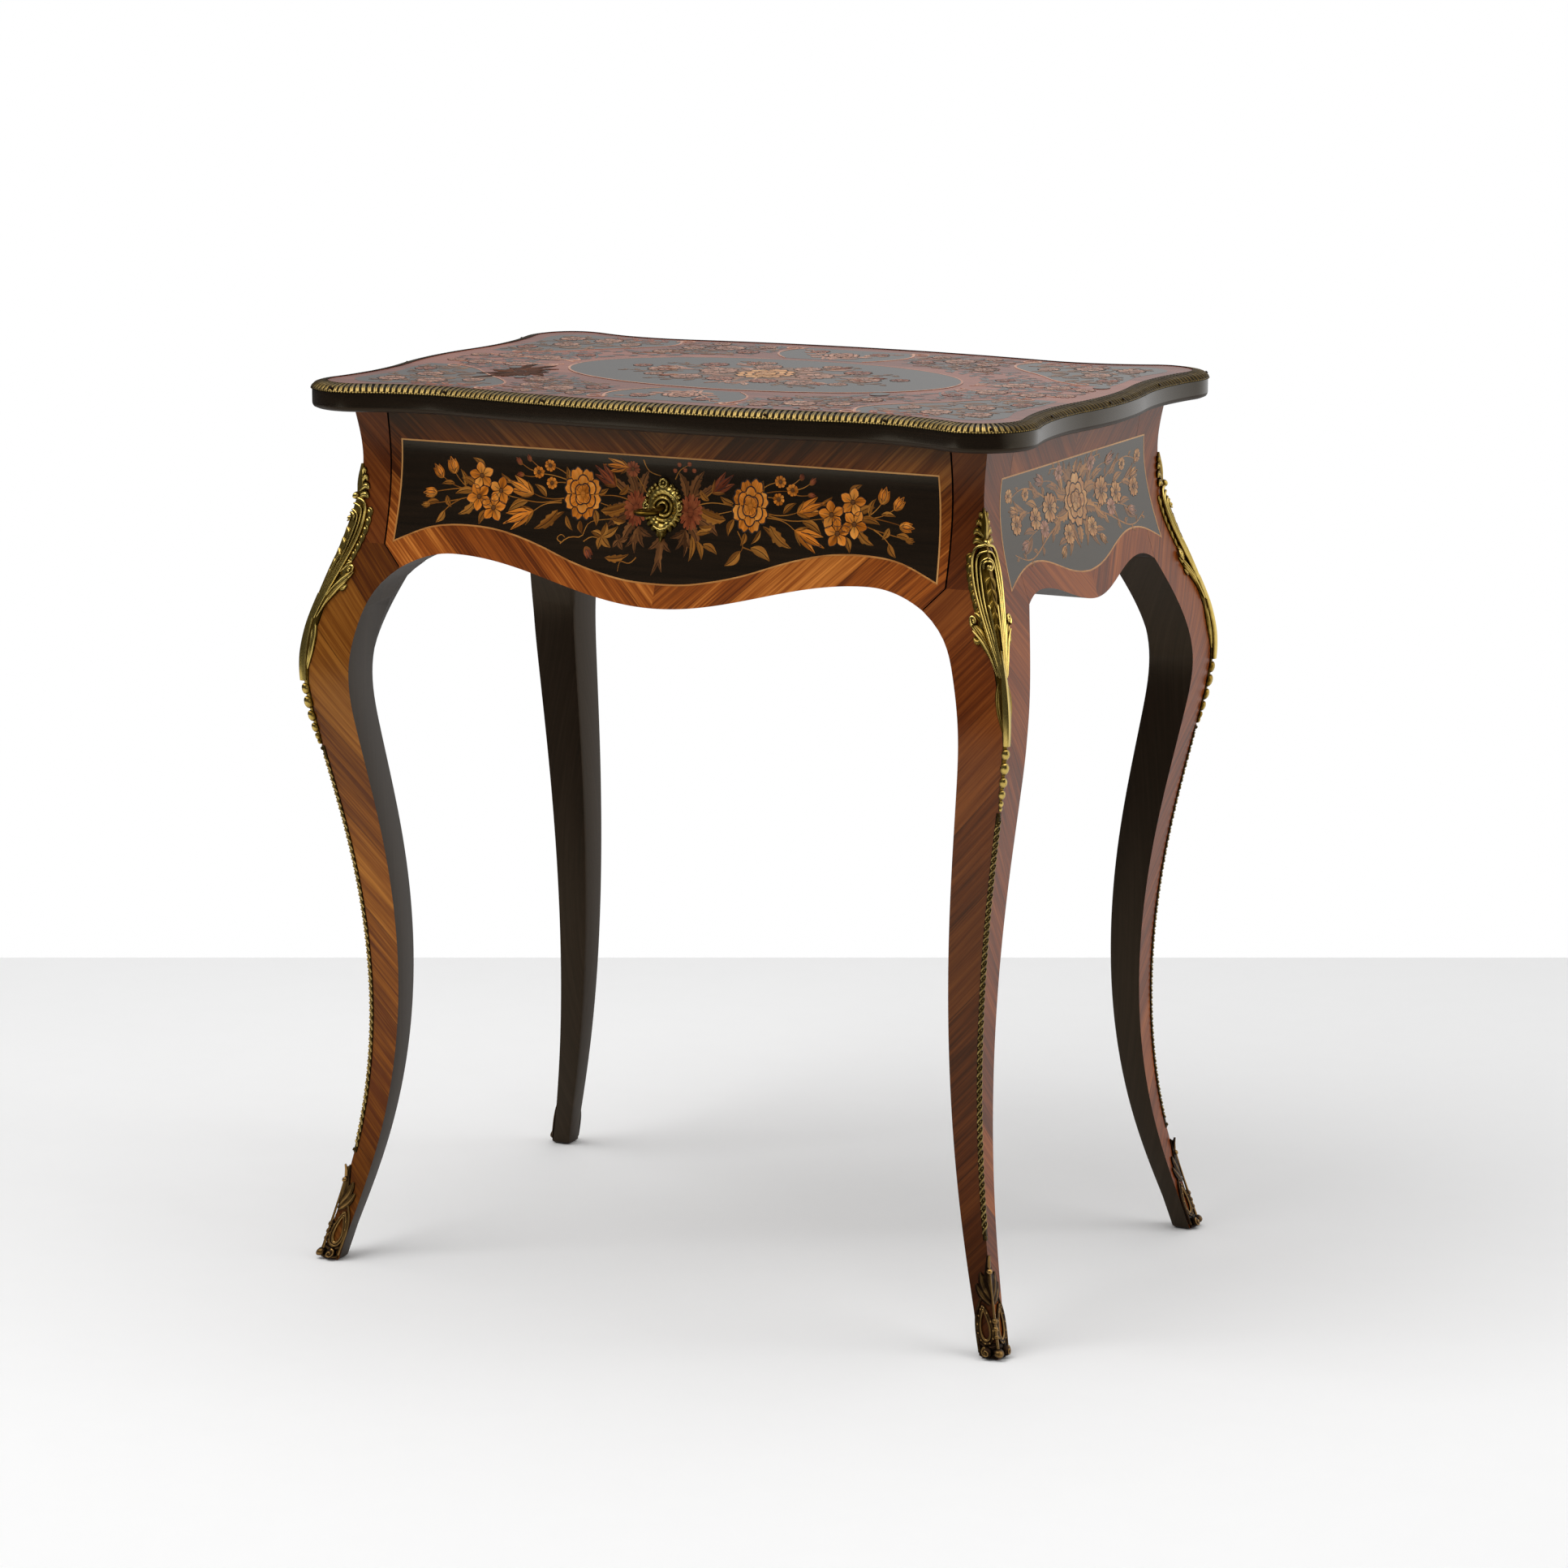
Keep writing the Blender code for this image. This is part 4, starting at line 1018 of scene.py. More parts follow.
@dataclass
class Top:
    """The serpentine top: an ebonised board, a sheet of marquetry and a stamped brass band."""

    sections: tuple[tuple[float, float], ...] = (
        (-0.004, 0.718), (-0.00305, 0.71838), (-0.00117, 0.71917), (-0.00038, 0.7204), (0.0, 0.722), (0.0, 0.7335),
        (-0.0095, 0.7335), (-0.0095, 0.738),
    )
    satin_sections: int = 4
    mortise: tuple[tuple[float, float], ...] = (
        (-0.012, -0.1507), (0.012, -0.1507), (0.012, -0.1447), (-0.012, -0.1447),
    )
    sheet_grow: float = -0.0095
    sheet_low: float = 0.7383
    sheet_high: float = 0.7395
    rim_length: float = 1.997
    leaf_pitch: float = 4.7 * MM
    band_low: float = 0.7338
    band_out: float = 1.2
    band_height: float = 6.4
    band_depth: float = 12.6
    band_seat: float = 9.3
    pin_spacing: int = 20
    side_darkening: float = 0.36

    def build(self) -> None:
        """Build and dress the top's pieces."""
        self.board()
        self.ground()
        self.band()

    def board(self) -> None:
        """Build the board, with the mortise for the bolt."""
        points, away = FORM.rim(RIM_POINTS)
        rings = np.stack([level(points + grow * away, z) for grow, z in self.sections])
        grain = np.linspace(0, 2.0, RIM_POINTS), 0.1 * np.arange(len(rings))[:, None]
        grain = np.stack(np.broadcast_arrays(*grain), axis=-1)
        shape = Shape("top_board_ebonised")
        satin, polished = np.s_[: self.satin_sections + 1], np.s_[self.satin_sections :]
        low = shape.sheet(rings[satin], SATIN, grain[satin], around=True)
        high = shape.sheet(rings[polished], EBONISED, grain[polished], around=True)
        shape.face([low[0][::-1].tolist()], SATIN)
        shape.face([high[-1].tolist()], EBONISED)
        board = shape.make(Body.FRAME, Slot.EBONISED, ["top_board"], weld=True)
        cut(board, "bolt_mortise", np.stack([level(np.array(self.mortise), z) for z in (0.715, 0.725)]))

    def ground(self) -> None:
        """Build the rosewood sheet."""
        points, away = FORM.rim(RIM_POINTS)
        outline = points + self.sheet_grow * away
        grain = outline + 3.1
        shape = Shape("top_rosewood_ground")
        high, low = level(outline, self.sheet_high), level(outline, self.sheet_low)
        shape.polygon(high, ROSEWOOD, grain)
        shape.polygon(low[::-1], ROSEWOOD, grain[::-1])
        shape.sheet(np.stack([high, low]), ROSEWOOD, np.stack([grain, grain]), around=True)
        shape.make(Body.FRAME, Slot.MARQUETRY, ["top_marquetry"], weld=True)

    def band(self) -> None:
        """Build the brass band, with its leaf tongues above a row of beads."""
        count = 10
        units = round(self.rim_length / self.leaf_pitch)
        points, away = FORM.rim(units * count)
        swing = 2 * ((np.arange(units * count) % count) / count) - 1
        section = natural_spline([(0, 0.0), (0.25, 0.02), (0.55, 0.18), (0.85, 0.5), (1.0, 1.0)])
        # Each row's reach out of the rim, its height and its tone.
        rows: list[tuple[Tone, Tone, Tone]] = [(self.band_out, 0.0, 0.2)]
        for up in (0.02, 0.07, 0.12, 0.17, 0.22, 0.3, 0.42, 0.56, 0.7, 0.82, 0.92, 1.0):
            if up < 0.25:
                bead = np.sqrt(np.clip(1 - (np.abs(swing * 2 % 2 - 1) / 0.9) ** 2, 0, 1))
                bead = bead * math.sqrt(max(0.0, 1 - ((up - 0.12) / 0.11) ** 2))
                lift, tone = 0.4 * bead - 0.3, 0.14 + 0.95 * bead
            else:
                # Each leaf leans a little, as the stamp cut it.
                lean = (swing + 0.5 * up + 1) % 2 - 1
                width = max(0.8 * math.sqrt(1 - ((up - 0.6) / 0.62) ** 2), 0.05)
                leaf = np.clip(1 - (np.abs(lean) / width) ** 2.4, 0, 1)
                vein = np.exp(-((lean / 0.16) ** 2)) * leaf
                lift, tone = 0.75 * leaf - 0.4 * vein - 0.5, 0.08 + 0.9 * leaf - 0.55 * vein
            # The lift stands square to the slope, at about 45 degrees.
            rows.append((0.85 - self.band_depth * section(up) + 0.7 * lift, 6.2 * up + 0.7 * lift - 0.1, tone))
        for inwards, up, shade in (
            (self.band_depth, self.band_height, 0.26),
            (self.band_depth, 5.8, 0.2),
            (self.band_seat, 5.8, 0.1),
            (self.band_seat, 0.0, 0.1),
        ):
            rows.append((-inwards, up, shade))
        grow, up, tone = (np.stack([np.broadcast_to(row[i], swing.shape) for row in rows])[..., None] for i in range(3))
        flat = points + MM * np.minimum(grow, self.band_out) * away
        rings = np.concatenate([flat, self.band_low + MM * np.clip(up, 0, self.band_height)], axis=-1)
        # The band is darker where it faces the sides.
        rubbed = 1 - self.side_darkening * step(np.abs(away[:, 0]), 0.5, 0.9)
        shape = Shape("top_edge_band_stamped")
        shape.tube(rings, BRASS, None, tone[..., 0] * rubbed, loop=True)
        for k in range(count // 2, units * count, self.pin_spacing * count):
            # A pin's dark head, square to the slope.
            out = np.append(away[k], 1.0) / math.sqrt(2)
            along = np.array([-away[k][1], away[k][0], 0.0])
            middle = np.append(points[k] - 0.6 * MM * away[k], self.band_low + 3.4 * MM)
            disc = circle(10) @ np.stack([along, np.cross(out, along)])
            head = [middle + MM * (size * disc + lift * out) for size, lift in ((1.3, -0.6), (1.3, 0.3), (0.7, 0.6))]
            shape.tube(np.stack(head), AGED, None, 0.3)
        shape.make(Body.FRAME, Slot.BRASS, ["top_edge_band"], sharp=50)


# ---------------------------------------------------------------- marquetry


class Pen:
    """Lays marquetry plates on a surface, in millimetres across and up it."""

    def __init__(
        self,
        shape: Shape,
        place: Callable[[np.ndarray, float], np.ndarray],
        stretch: tuple[float, float] = (1, 1),
        pale_woods: bool = False,
    ) -> None:
        """Take up a piece, a surface and the way that the drawing is turned over.

        Args:
            shape: The piece that the plates go into.
            place: Gives points in the table's frame from points and a lift, all in millimetres.
            stretch: How the drawing is stretched across and up; negative turns it over.
            pale_woods: Whether its bright woods are swapped for paler ones.
        """
        self.shape, self.place, self.stretch, self.pale_woods = shape, place, np.array(stretch), pale_woods
        # A drawing that is turned over starts its plates' heights elsewhere.
        self.count = 29 * (stretch[0] < 0) + 53 * (stretch[1] < 0)

    def wood(self, finish: Finish) -> Finish:
        """Give a wood, or the paler one that stands in for it."""
        return PALED.get(finish, finish) if self.pale_woods else finish

    def grid(self, points: np.ndarray, finish: Finish, layer: float, tone: Tone = 1.0) -> None:
        """Lay a grid of points as one plate.

        Args:
            points: Rows by columns by 2; the grain runs along the rows.
            finish: Its wood.
            layer: How far it stands proud.
            tone: Its shading from hot sand.
        """
        self.count += 1
        axis = points[-1].mean(0) - points[0].mean(0)
        axis = axis / max(np.hypot(*axis), 1e-6)
        grain = np.stack([points @ axis, points @ [-axis[1], axis[0]]], axis=-1) * MM + 0.37 * self.count
        flat = points * self.stretch
        # Each plate lies at a height of its own, so that no two are coplanar.
        lift = layer + 0.012 * (0.618 * self.count % 1.0)
        self.shape.slab(self.place(flat, lift), self.place(flat, PLATE_BACK), self.wood(finish), grain, tone)

    def between(self, line: np.ndarray, other: np.ndarray, finish: Finish, layer: float, tone: Tone = 1.0) -> None:
        """Lay a plate between two lines with as many points."""
        self.grid(np.stack([line, other], axis=1), finish, layer, tone)

    def strip(
        self, line: Line, width: float, end: float, finish: Finish = LEAFWOOD, layer: float = 0.1, count: int = 14
    ) -> None:
        """Lay a stem, a tendril or an engraved line.

        Args:
            line: Points that it runs through.
            width: Its width at the start.
            end: Its width at the end.
            finish: Its wood.
            layer: How far it stands proud.
            count: How many points it gets.
        """
        line = smooth(line, count)
        half = np.linspace(width, end, count)[:, None] / 2 * across(line)
        self.between(line - half, line + half, finish, layer)

    def leaf(
        self,
        root: Sequence[float],
        tip: Sequence[float],
        width: float,
        bend: float = 0.1,
        teeth: int = 0,
        finish: Finish = LEAFWOOD,
        shade: float = 1.0,
        layer: float = 0.16,
    ) -> None:
        """Lay a leaf in two halves, one lighter, with the ground showing as its vein.

        Args:
            root: Where it starts.
            tip: Where it ends.
            width: How wide it is.
            bend: How far it bows to the left of its line, as a share of its length.
            teeth: How many teeth its edges have.
            finish: Its wood.
            shade: How light it is.
            layer: How far it stands proud.
        """
        root, span = np.array(root, float), np.subtract(tip, root)
        length = np.hypot(*span)
        side = np.array([-span[1], span[0]]) / length
        t = np.linspace(0, 1, 4 * teeth + 1 if teeth else 9)
        spine = root + span * t[:, None] + side * (4 * bend * length * t * (1 - t))[:, None]
        swell = np.sin(math.pi * t**0.8) * (1 + (0.5 * ((t * teeth) % 1 - 0.5) if teeth else 0))
        edge = np.maximum(width / 2 * swell, 0.22)[:, None]
        vein = np.minimum(0.28, edge * 0.4)
        for way, tone in ((side, [1.12, 0.92]), (-side, [0.84, 0.62])):
            self.between(spine + way * vein, spine + way * edge, finish, layer, shade * np.array([tone]))

    def petal(
        self,
        centre: Sequence[float],
        angle: float,
        near: float,
        far: float,
        spread: float,
        notch: float,
        squash: Sequence[float],
        finish: Finish,
        tones: tuple[float, float],
        layer: float = 0.22,
        engraved: float = 0.0,
    ) -> None:
        """Lay one petal of a flower.

        Args:
            centre: The flower's middle.
            angle: The petal's direction, in degrees.
            near: Where it starts from the middle.
            far: Where it ends.
            spread: Half the angle that it covers.
            notch: How deep its tip is notched, as a share of its reach; negative makes a point.
            squash: How the flower is stretched across and up.
            finish: Its wood.
            tones: Its shading at the root and at the tip.
            layer: How far it stands proud.
            engraved: The width of the dark line engraved round its tip, or none.
        """
        s, r = np.linspace(-1, 1, 7), np.linspace(0, 1, 4)[:, None]
        # A pointed petal is also rounder at its sides.
        reach = far * (1 - (0.2 if notch >= 0 else 0.3) * s**2 - notch * np.exp(-((s / 0.25) ** 2)))
        radius = near + (reach - near) * r
        points = np.array(centre) + radius[..., None] * ray(angle + spread * s) * np.array(squash)
        self.grid(points, finish, layer, tones[0] + (tones[1] - tones[0]) * r**0.7)
        if engraved:
            self.strip(points[-1], engraved, engraved, MASTIC, layer + 0.045, 11)

    def disc(
        self,
        centre: Sequence[float],
        wide: float,
        high: float,
        finish: Finish,
        tone: float = 1.0,
        layer: float = 0.28,
    ) -> None:
        """Lay a round or oval plate.

        Args:
            centre: Its middle.
            wide: Half its width.
            high: Half its height.
            finish: Its wood.
            tone: How light it is.
            layer: How far it stands proud.
        """
        edge = circle(12) * [wide, high]
        middle = np.array(centre) * self.stretch
        heights = (1, PLATE_BACK), (1, layer), (0.5, layer + 0.02)
        rings = np.stack([self.place(middle + edge * k, lift) for k, lift in heights])
        grain = np.broadcast_to(edge * MM + 0.2, (3, 12, 2))
        self.shape.tube(rings, self.wood(finish), grain, np.array([[0.6], [0.7], [1.05]]) * tone)

    def flower(
        self,
        centre: Sequence[float],
        petals: int,
        far: float,
        notch: float = 0.2,
        turn: float = 90.0,
        squash: Sequence[float] = (1.0, 1.0),
        finish: Finish = FRUITWOOD,
        eye: float = 0.2,
        shade: float = 1.0,
    ) -> None:
        """Lay an open flower: petals round an eye, with engraved lines if it is large.

        Args:
            centre: Its middle.
            petals: How many petals it has.
            far: How far they reach.
            notch: How deep they are notched.
            turn: The first petal's direction, in degrees.
            squash: How it is stretched across and up.
            finish: Its wood.
            eye: The eye's size, as a share of the reach.
            shade: How light it is.
        """
        large = far > 8
        for k in range(petals):
            light = shade * (1.0 + 0.12 * math.sin(2.4 * k))
            way, tones = turn + 360 * k / petals, (0.58 * light, 1.08 * light)
            line = 0.05 * far * large
            self.petal(centre, way, 1.15 * far * eye, far, 158 / petals, notch, squash, finish, tones, engraved=line)
            if large:
                along = far * ray(way) * np.array(squash)
                ends = np.array(centre) + 0.25 * along, np.array(centre) + 0.62 * along
                self.strip(ends, 0.045 * far, 0.2, MASTIC, 0.29, 5)
        self.disc(centre, far * eye * squash[0], far * eye * squash[1], WALNUT, 0.9)

    def rose(
        self, centre: Sequence[float], wide: float, high: float, turn: float = 90.0, finish: Finish = FRUITWOOD
    ) -> None:
        """Lay a full rose: ruffled outer petals, two rings of inner ones and a whorl.

        Args:
            centre: Its middle.
            wide: Half its width.
            high: Half its height.
            turn: The direction of its first petal, in degrees.
            finish: Its wood.
        """
        rings = (8, 0.5, 1.0, 0, 0.2), (6, 0.3, 0.7, 25, 0.26), (4, 0.12, 0.42, 60, 0.32)
        for count, near, far, start, layer in rings:
            outer = count == 8
            for k in range(count):
                light = 1.0 + 0.1 * math.sin(1.9 * k + count)
                reach = far * high * (1.08 if outer and k == 0 else 1.0)
                self.petal(
                    centre,
                    turn + start + 360 * k / count,
                    near * high,
                    reach,
                    168 / count,
                    0.1 * outer,
                    (wide / high, 1.0),
                    finish,
                    (0.58 * light, 1.1 * light),
                    layer,
                    0.05 * high,
                )
        self.disc(centre, 0.13 * wide, 0.13 * high, finish, 0.7, 0.36)
        for angle in (20, 140, 260):
            arc = np.array(centre) + 0.33 * ray(np.linspace(angle, angle + 95, 5)) * [wide, high]
            self.strip(arc, 0.5, 0.3, MASTIC, 0.42, 8)

    def spray(self, line: Line, size: float, pairs: int, finish: Finish, layer: float) -> None:
        """Lay a stem whose leaves spring from its two sides in turn, smaller towards its tip.

        Args:
            line: Points that the stem runs through.
            size: The length of its first leaf.
            pairs: How many pairs of leaves it has.
            finish: Its wood.
            layer: How far it stands proud.
        """
        self.strip(line, 0.16 * size, 0.7, finish, layer, 24)
        stem = smooth(line, 4 * pairs + 1)
        side = across(stem)
        for k in range(1, 4 * pairs, 2):
            turn = 1 if k % 4 == 1 else -1
            reach = size * (1.1 - 0.14 * k / pairs)
            out = 0.7 * np.array([side[k, 1], -side[k, 0]]) + 0.7 * turn * side[k]
            self.leaf(stem[k], stem[k] + reach * out, 0.46 * reach, 0.14 * turn, 0, finish, 0.95, layer + 0.02)

    def bud(self, root: Sequence[float], tip: Sequence[float], width: float, finish: Finish = FRUITWOOD) -> None:
        """Lay a bud: three petals out of a green cup.

        Args:
            root: Where it starts.
            tip: Where it ends.
            width: How wide it is.
            finish: Its wood.
        """
        root, span = np.array(root, float), np.subtract(tip, root)
        angle, length = math.degrees(math.atan2(span[1], span[0])), np.hypot(*span)
        for lean, shade, reach, layer in ((-16, 0.85, 0.86, 0.2), (16, 0.95, 0.86, 0.2), (0, 1.1, 1.0, 0.27)):
            end = root + length * reach * ray(angle + lean)
            self.leaf(root, end, 0.62 * width, 0.0, 0, finish, shade, layer)
            if lean and width > 6:
                # A dark line between the middle petal and each outer one.
                way = length * ray(angle + 0.8 * lean)
                self.strip([root + 0.2 * way, root + 0.5 * way, root + 0.92 * span], 0.6, 0.4, MASTIC, 0.33, 7)
        for lean in (-38, 38):
            self.leaf(root, root + 0.45 * length * ray(angle + lean), 0.28 * width, 0.0, 0, LEAFWOOD, 0.85, 0.3)


# In the drawings below, a row of a leaf or a bud gives its root and its tip first, as four numbers.


def garland_half(pen: Pen) -> None:
    """Lay the half of the frieze's garland that both sides share.

    Args:
        pen: Draws from the middle of the face outwards, and up from the floor.
    """
    for line in (
        (26, 655, 39, 659, 62, 658), (30, 648, 48, 651, 64, 655), (84, 671, 93, 677, 103, 680),
        (86, 669, 99, 672, 113.5, 673), (86, 667, 94, 667, 101, 666), (108, 675, 116, 680, 121, 684),
        (112, 674, 122, 676, 130, 681), (110, 672, 120, 670, 129, 671), (88, 655, 98, 653.5, 113, 655, 121, 658),
        (92, 651, 109, 648, 118, 642), (92, 653, 112, 650, 132, 652, 150, 655),
        (164, 655, 177, 656, 192, 659, 205, 667), (177, 656, 186, 663, 193, 672), (182, 657, 196, 655, 211, 652),
        (172, 652, 185, 648, 199, 645, 217, 641.5), (185, 648, 197, 640, 205, 630), (37, 663, 43, 668, 48, 672),
        (64, 650, 62, 643, 60, 637),
    ):
        pen.strip(line, 1.0, 0.5)
    for row in (
        (87, 668, 88, 680, 5), (95, 645, 115, 629, 9, -0.1, 4), (89, 644, 102, 631, 4), (87, 641, 80, 630, 4),
        (123, 650, 140, 641, 6.5, 0.12), (106, 655, 117, 664, 5), (163, 673, 174, 682, 5.5, 0.12),
        (171, 659, 185, 665, 6.5), (172, 655, 190, 652, 6), (171, 648, 186, 636, 7, -0.12, 3),
        (160, 641, 166, 629, 6), (148, 648, 140, 652, 4), (198, 650, 193, 641, 5), (205, 645, 218, 641, 5),
        (199, 638, 206, 628, 5.5, -0.1), (191, 660, 203, 659, 4), (62, 660, 50, 665, 5),
        (56, 647, 30, 655, 10, 0.1, 5), (63, 648, 59, 635, 6, -0.1), (74, 638, 71, 628, 5),
        (40, 661, 32, 669, 5, 0.12), (45, 641, 33, 640, 5, 0.1, 3), (138, 664, 148, 671, 4.5, -0.1),
        (181, 658, 186, 672, 4.5, 0.15),
    ):
        pen.leaf(row[:2], row[2:4], *row[4:])
    for row in (
        (118, 656, 142, 666, 11, FRUITWOOD), (117, 643, 144, 631, 10, FRUITWOOD), (191, 668, 195, 682, 11, FRUITWOOD),
        (202, 664, 210, 675, 9, FRUITWOOD), (207, 652, 220, 651, 9, FRUITWOOD), (121, 682, 123, 688, 4.5, REDWOOD),
        (129, 679, 134, 685, 4.5, REDWOOD), (127, 671, 134, 671, 4.5, REDWOOD), (43, 667, 62, 683, 10, REDWOOD),
        (213, 642, 221, 641, 5, LEAFWOOD),
    ):
        pen.bud(row[:2], row[2:4], *row[4:])
    for centre in ((103, 680), (113.5, 674), (101.5, 666)):
        pen.flower(centre, 8, 5.2, 0.1, 80, eye=0.3)
    for x, z, turn in ((166, 668, 80), (148, 657, 100), (168, 651, 60), (154, 643, 95)):
        pen.flower((x, z), 5, 10.8, -0.08, turn, eye=0.18)
    # Toothed brown leaves round the red carnation beside the lock, and its spray below.
    for row in (
        (25, 660, 36, 684, 9), (20, 662, 13, 682, 8, -0.1), (28, 655, 50, 651, 9, -0.12), (27, 647, 50, 634, 10),
        (27, 663, 46, 676, 7, -0.1), (22, 642, 34, 624, 8),
    ):
        pen.leaf(row[:2], row[2:4], *row[4:], teeth=5, finish=WALNUT, shade=1.2, layer=0.1)
    for layer, count, far, start in ((0.2, 9, 15.5, 90), (0.28, 7, 10.5, 107)):
        for k in range(count):
            tones, way = (0.45, 1.0 + 0.12 * math.sin(2 * k)), start + 360 * k / count
            pen.petal((24.5, 651), way, 0.3 * far, far, 158 / count, 0.24, (0.74, 1.0), REDWOOD, tones, layer)
    pen.disc((24.5, 651), 2.6, 3.6, REDWOOD, 0.7, 0.36)
    for x, z, bend in ((22, 616, 0.08), (14, 621, 0.1), (31, 620, -0.1), (8, 630, 0.1)):
        pen.leaf((21, 637), (x, z), 5.5, bend, 3, WALNUT, 1.0, 0.13)


def garland_left(pen: Pen) -> None:
    """Lay what the drawer's left side alone has: tendrils, ivy and a bell bud."""
    for line in (
        (90, 619, 80, 625, 71, 626, 68, 634, 54, 640, 41, 642), (69, 622, 62, 626, 55, 625),
        (89, 620, 93, 623, 90, 626, 86, 624), (20, 613, 27, 608, 33, 609, 35, 601), (18, 690, 14, 682, 3, 678),
        (16, 664, 22, 673, 28, 680),
    ):
        pen.strip(line, 0.9, 0.4)
    for tip in ((39, 636), (63, 630), (44, 619), (55, 617), (50, 638)):
        pen.leaf((53, 627), tip, 6, 0.08, 0, LEAFWOOD, 0.9)
    for tip in ((29, 628), (42, 619), (33, 618), (41, 630)):
        pen.leaf((37, 625), tip, 4.5, 0.08, 0, WALNUT, 1.1)
    pen.leaf((48, 611), (27, 615), 6, 0.1, 4)
    pen.rose((73, 659), 18, 22, 65)
    pen.bud((67, 618), (60, 609), 7, REDWOOD)
    pen.bud((31, 683), (54, 684), 7)
    pen.flower((28, 682), 7, 7, 0.25, 90, finish=REDWOOD)


def garland_right(pen: Pen) -> None:
    """Lay what the drawer's right side alone has: drop leaves, a sprig and berries."""
    for line in (
        (67, 639, 71, 633, 73, 627, 66, 618), (73, 627, 84, 624, 94, 620), (23, 638, 32, 629, 45, 622),
        (10, 676, 14, 683, 22, 688),
    ):
        pen.strip(line, 0.9, 0.4)
    for row in (
        (71, 624, 59, 612, 8), (80, 627, 98, 618, 8), (27, 633, 27, 613, 5), (32, 629, 38, 615, 5),
        (38, 627, 51, 620, 5.5), (31, 634, 43, 636, 5),
    ):
        pen.leaf(row[:2], row[2:4], row[4])
    pen.rose((77, 659), 17, 22.5, 65)
    for centre in ((10, 683), (14, 688), (19, 684), (23, 689), (27, 684)):
        pen.disc(centre, 1.9, 1.9, REDWOOD)


def garland_middle(pen: Pen) -> None:
    """Lay the downward spray under the lock."""
    for x, z, bend in ((-10, 620, 0.1), (-2, 609, 0.05), (10, 619, -0.1), (-5, 600, 0.08), (4, 603, -0.08)):
        pen.leaf((0, 630), (x, z), 6, bend, 3, WALNUT, 1.15, 0.14)


def side_half(pen: Pen) -> None:
    """Lay one half of the sides' bouquet."""
    for line in (
        (14, 655, 40, 660, 72, 656, 108, 661), (20, 650, 48, 644, 74, 640, 96, 632), (22, 664, 38, 674, 60, 677),
        (6, 640, 18, 627, 34, 621),
    ):
        pen.strip(line, 1.0, 0.5)
    for row in (
        (22, 664, 32, 680, 7), (30, 666, 49, 672, 6, 0.1, 3), (60, 666, 74, 678, 6, -0.1), (66, 658, 84, 664, 6),
        (82, 657, 100, 650, 6, 0.1, 3), (88, 659, 104, 669, 5, -0.1), (30, 646, 47, 633, 8, -0.1, 4),
        (52, 643, 66, 629, 6), (74, 640, 92, 641, 5.5), (80, 637, 97, 626, 5.5, -0.1), (10, 640, 6, 617, 7, 0.1, 3),
        (16, 634, 26, 614, 6, -0.1), (24, 626, 40, 624, 5), (4, 674, 10, 686, 5, -0.1),
    ):
        pen.leaf(row[:2], row[2:4], *row[4:])
    for row in (
        (54, 676, 70, 682, 8, REDWOOD), (98, 659, 113, 662, 8, FRUITWOOD), (86, 634, 100, 630, 8, REDWOOD),
        (30, 622, 39, 614, 7, FRUITWOOD),
    ):
        pen.bud(row[:2], row[2:4], *row[4:])
    for line in (
        (30, 652, 60, 668, 92, 676, 112, 670), (30, 642, 60, 631, 90, 621, 112, 628), (10, 672, 24, 682, 44, 685),
    ):
        pen.spray(line, 10, 4, LEAFWOOD, 0.12)
    for x, z, far, finish in (
        (102, 650, 9, FRUITWOOD), (28, 680, 7, REDWOOD), (20, 630, 9, FRUITWOOD), (112, 674, 6, FRUITWOOD),
    ):
        pen.flower((x, z), 6, far, 0.2, 60, finish=finish)
    pen.flower((45, 655), 6, 13, 0.2, 70, (0.95, 1.0))
    pen.flower((70, 650), 5, 10, 0.22, 100)
    pen.flower((84, 671), 8, 5.5, 0.1, 80, eye=0.3)
    pen.flower((58, 640), 7, 7.5, 0.2, 80, finish=REDWOOD)


def side_middle(pen: Pen, z: float = 654.0) -> None:
    """Lay the rose of the sides' bouquet in a ring of toothed leaves, at a height."""
    for k in range(10):
        way, middle = ray(36 * k + 12), np.array([0, z])
        pen.leaf(middle + way * [14.4, 18], middle + way * [44, 34], 11, 0.1, 5, LEAFWOOD, 1.0, 0.14)
    pen.rose((0, z), 24, 22)


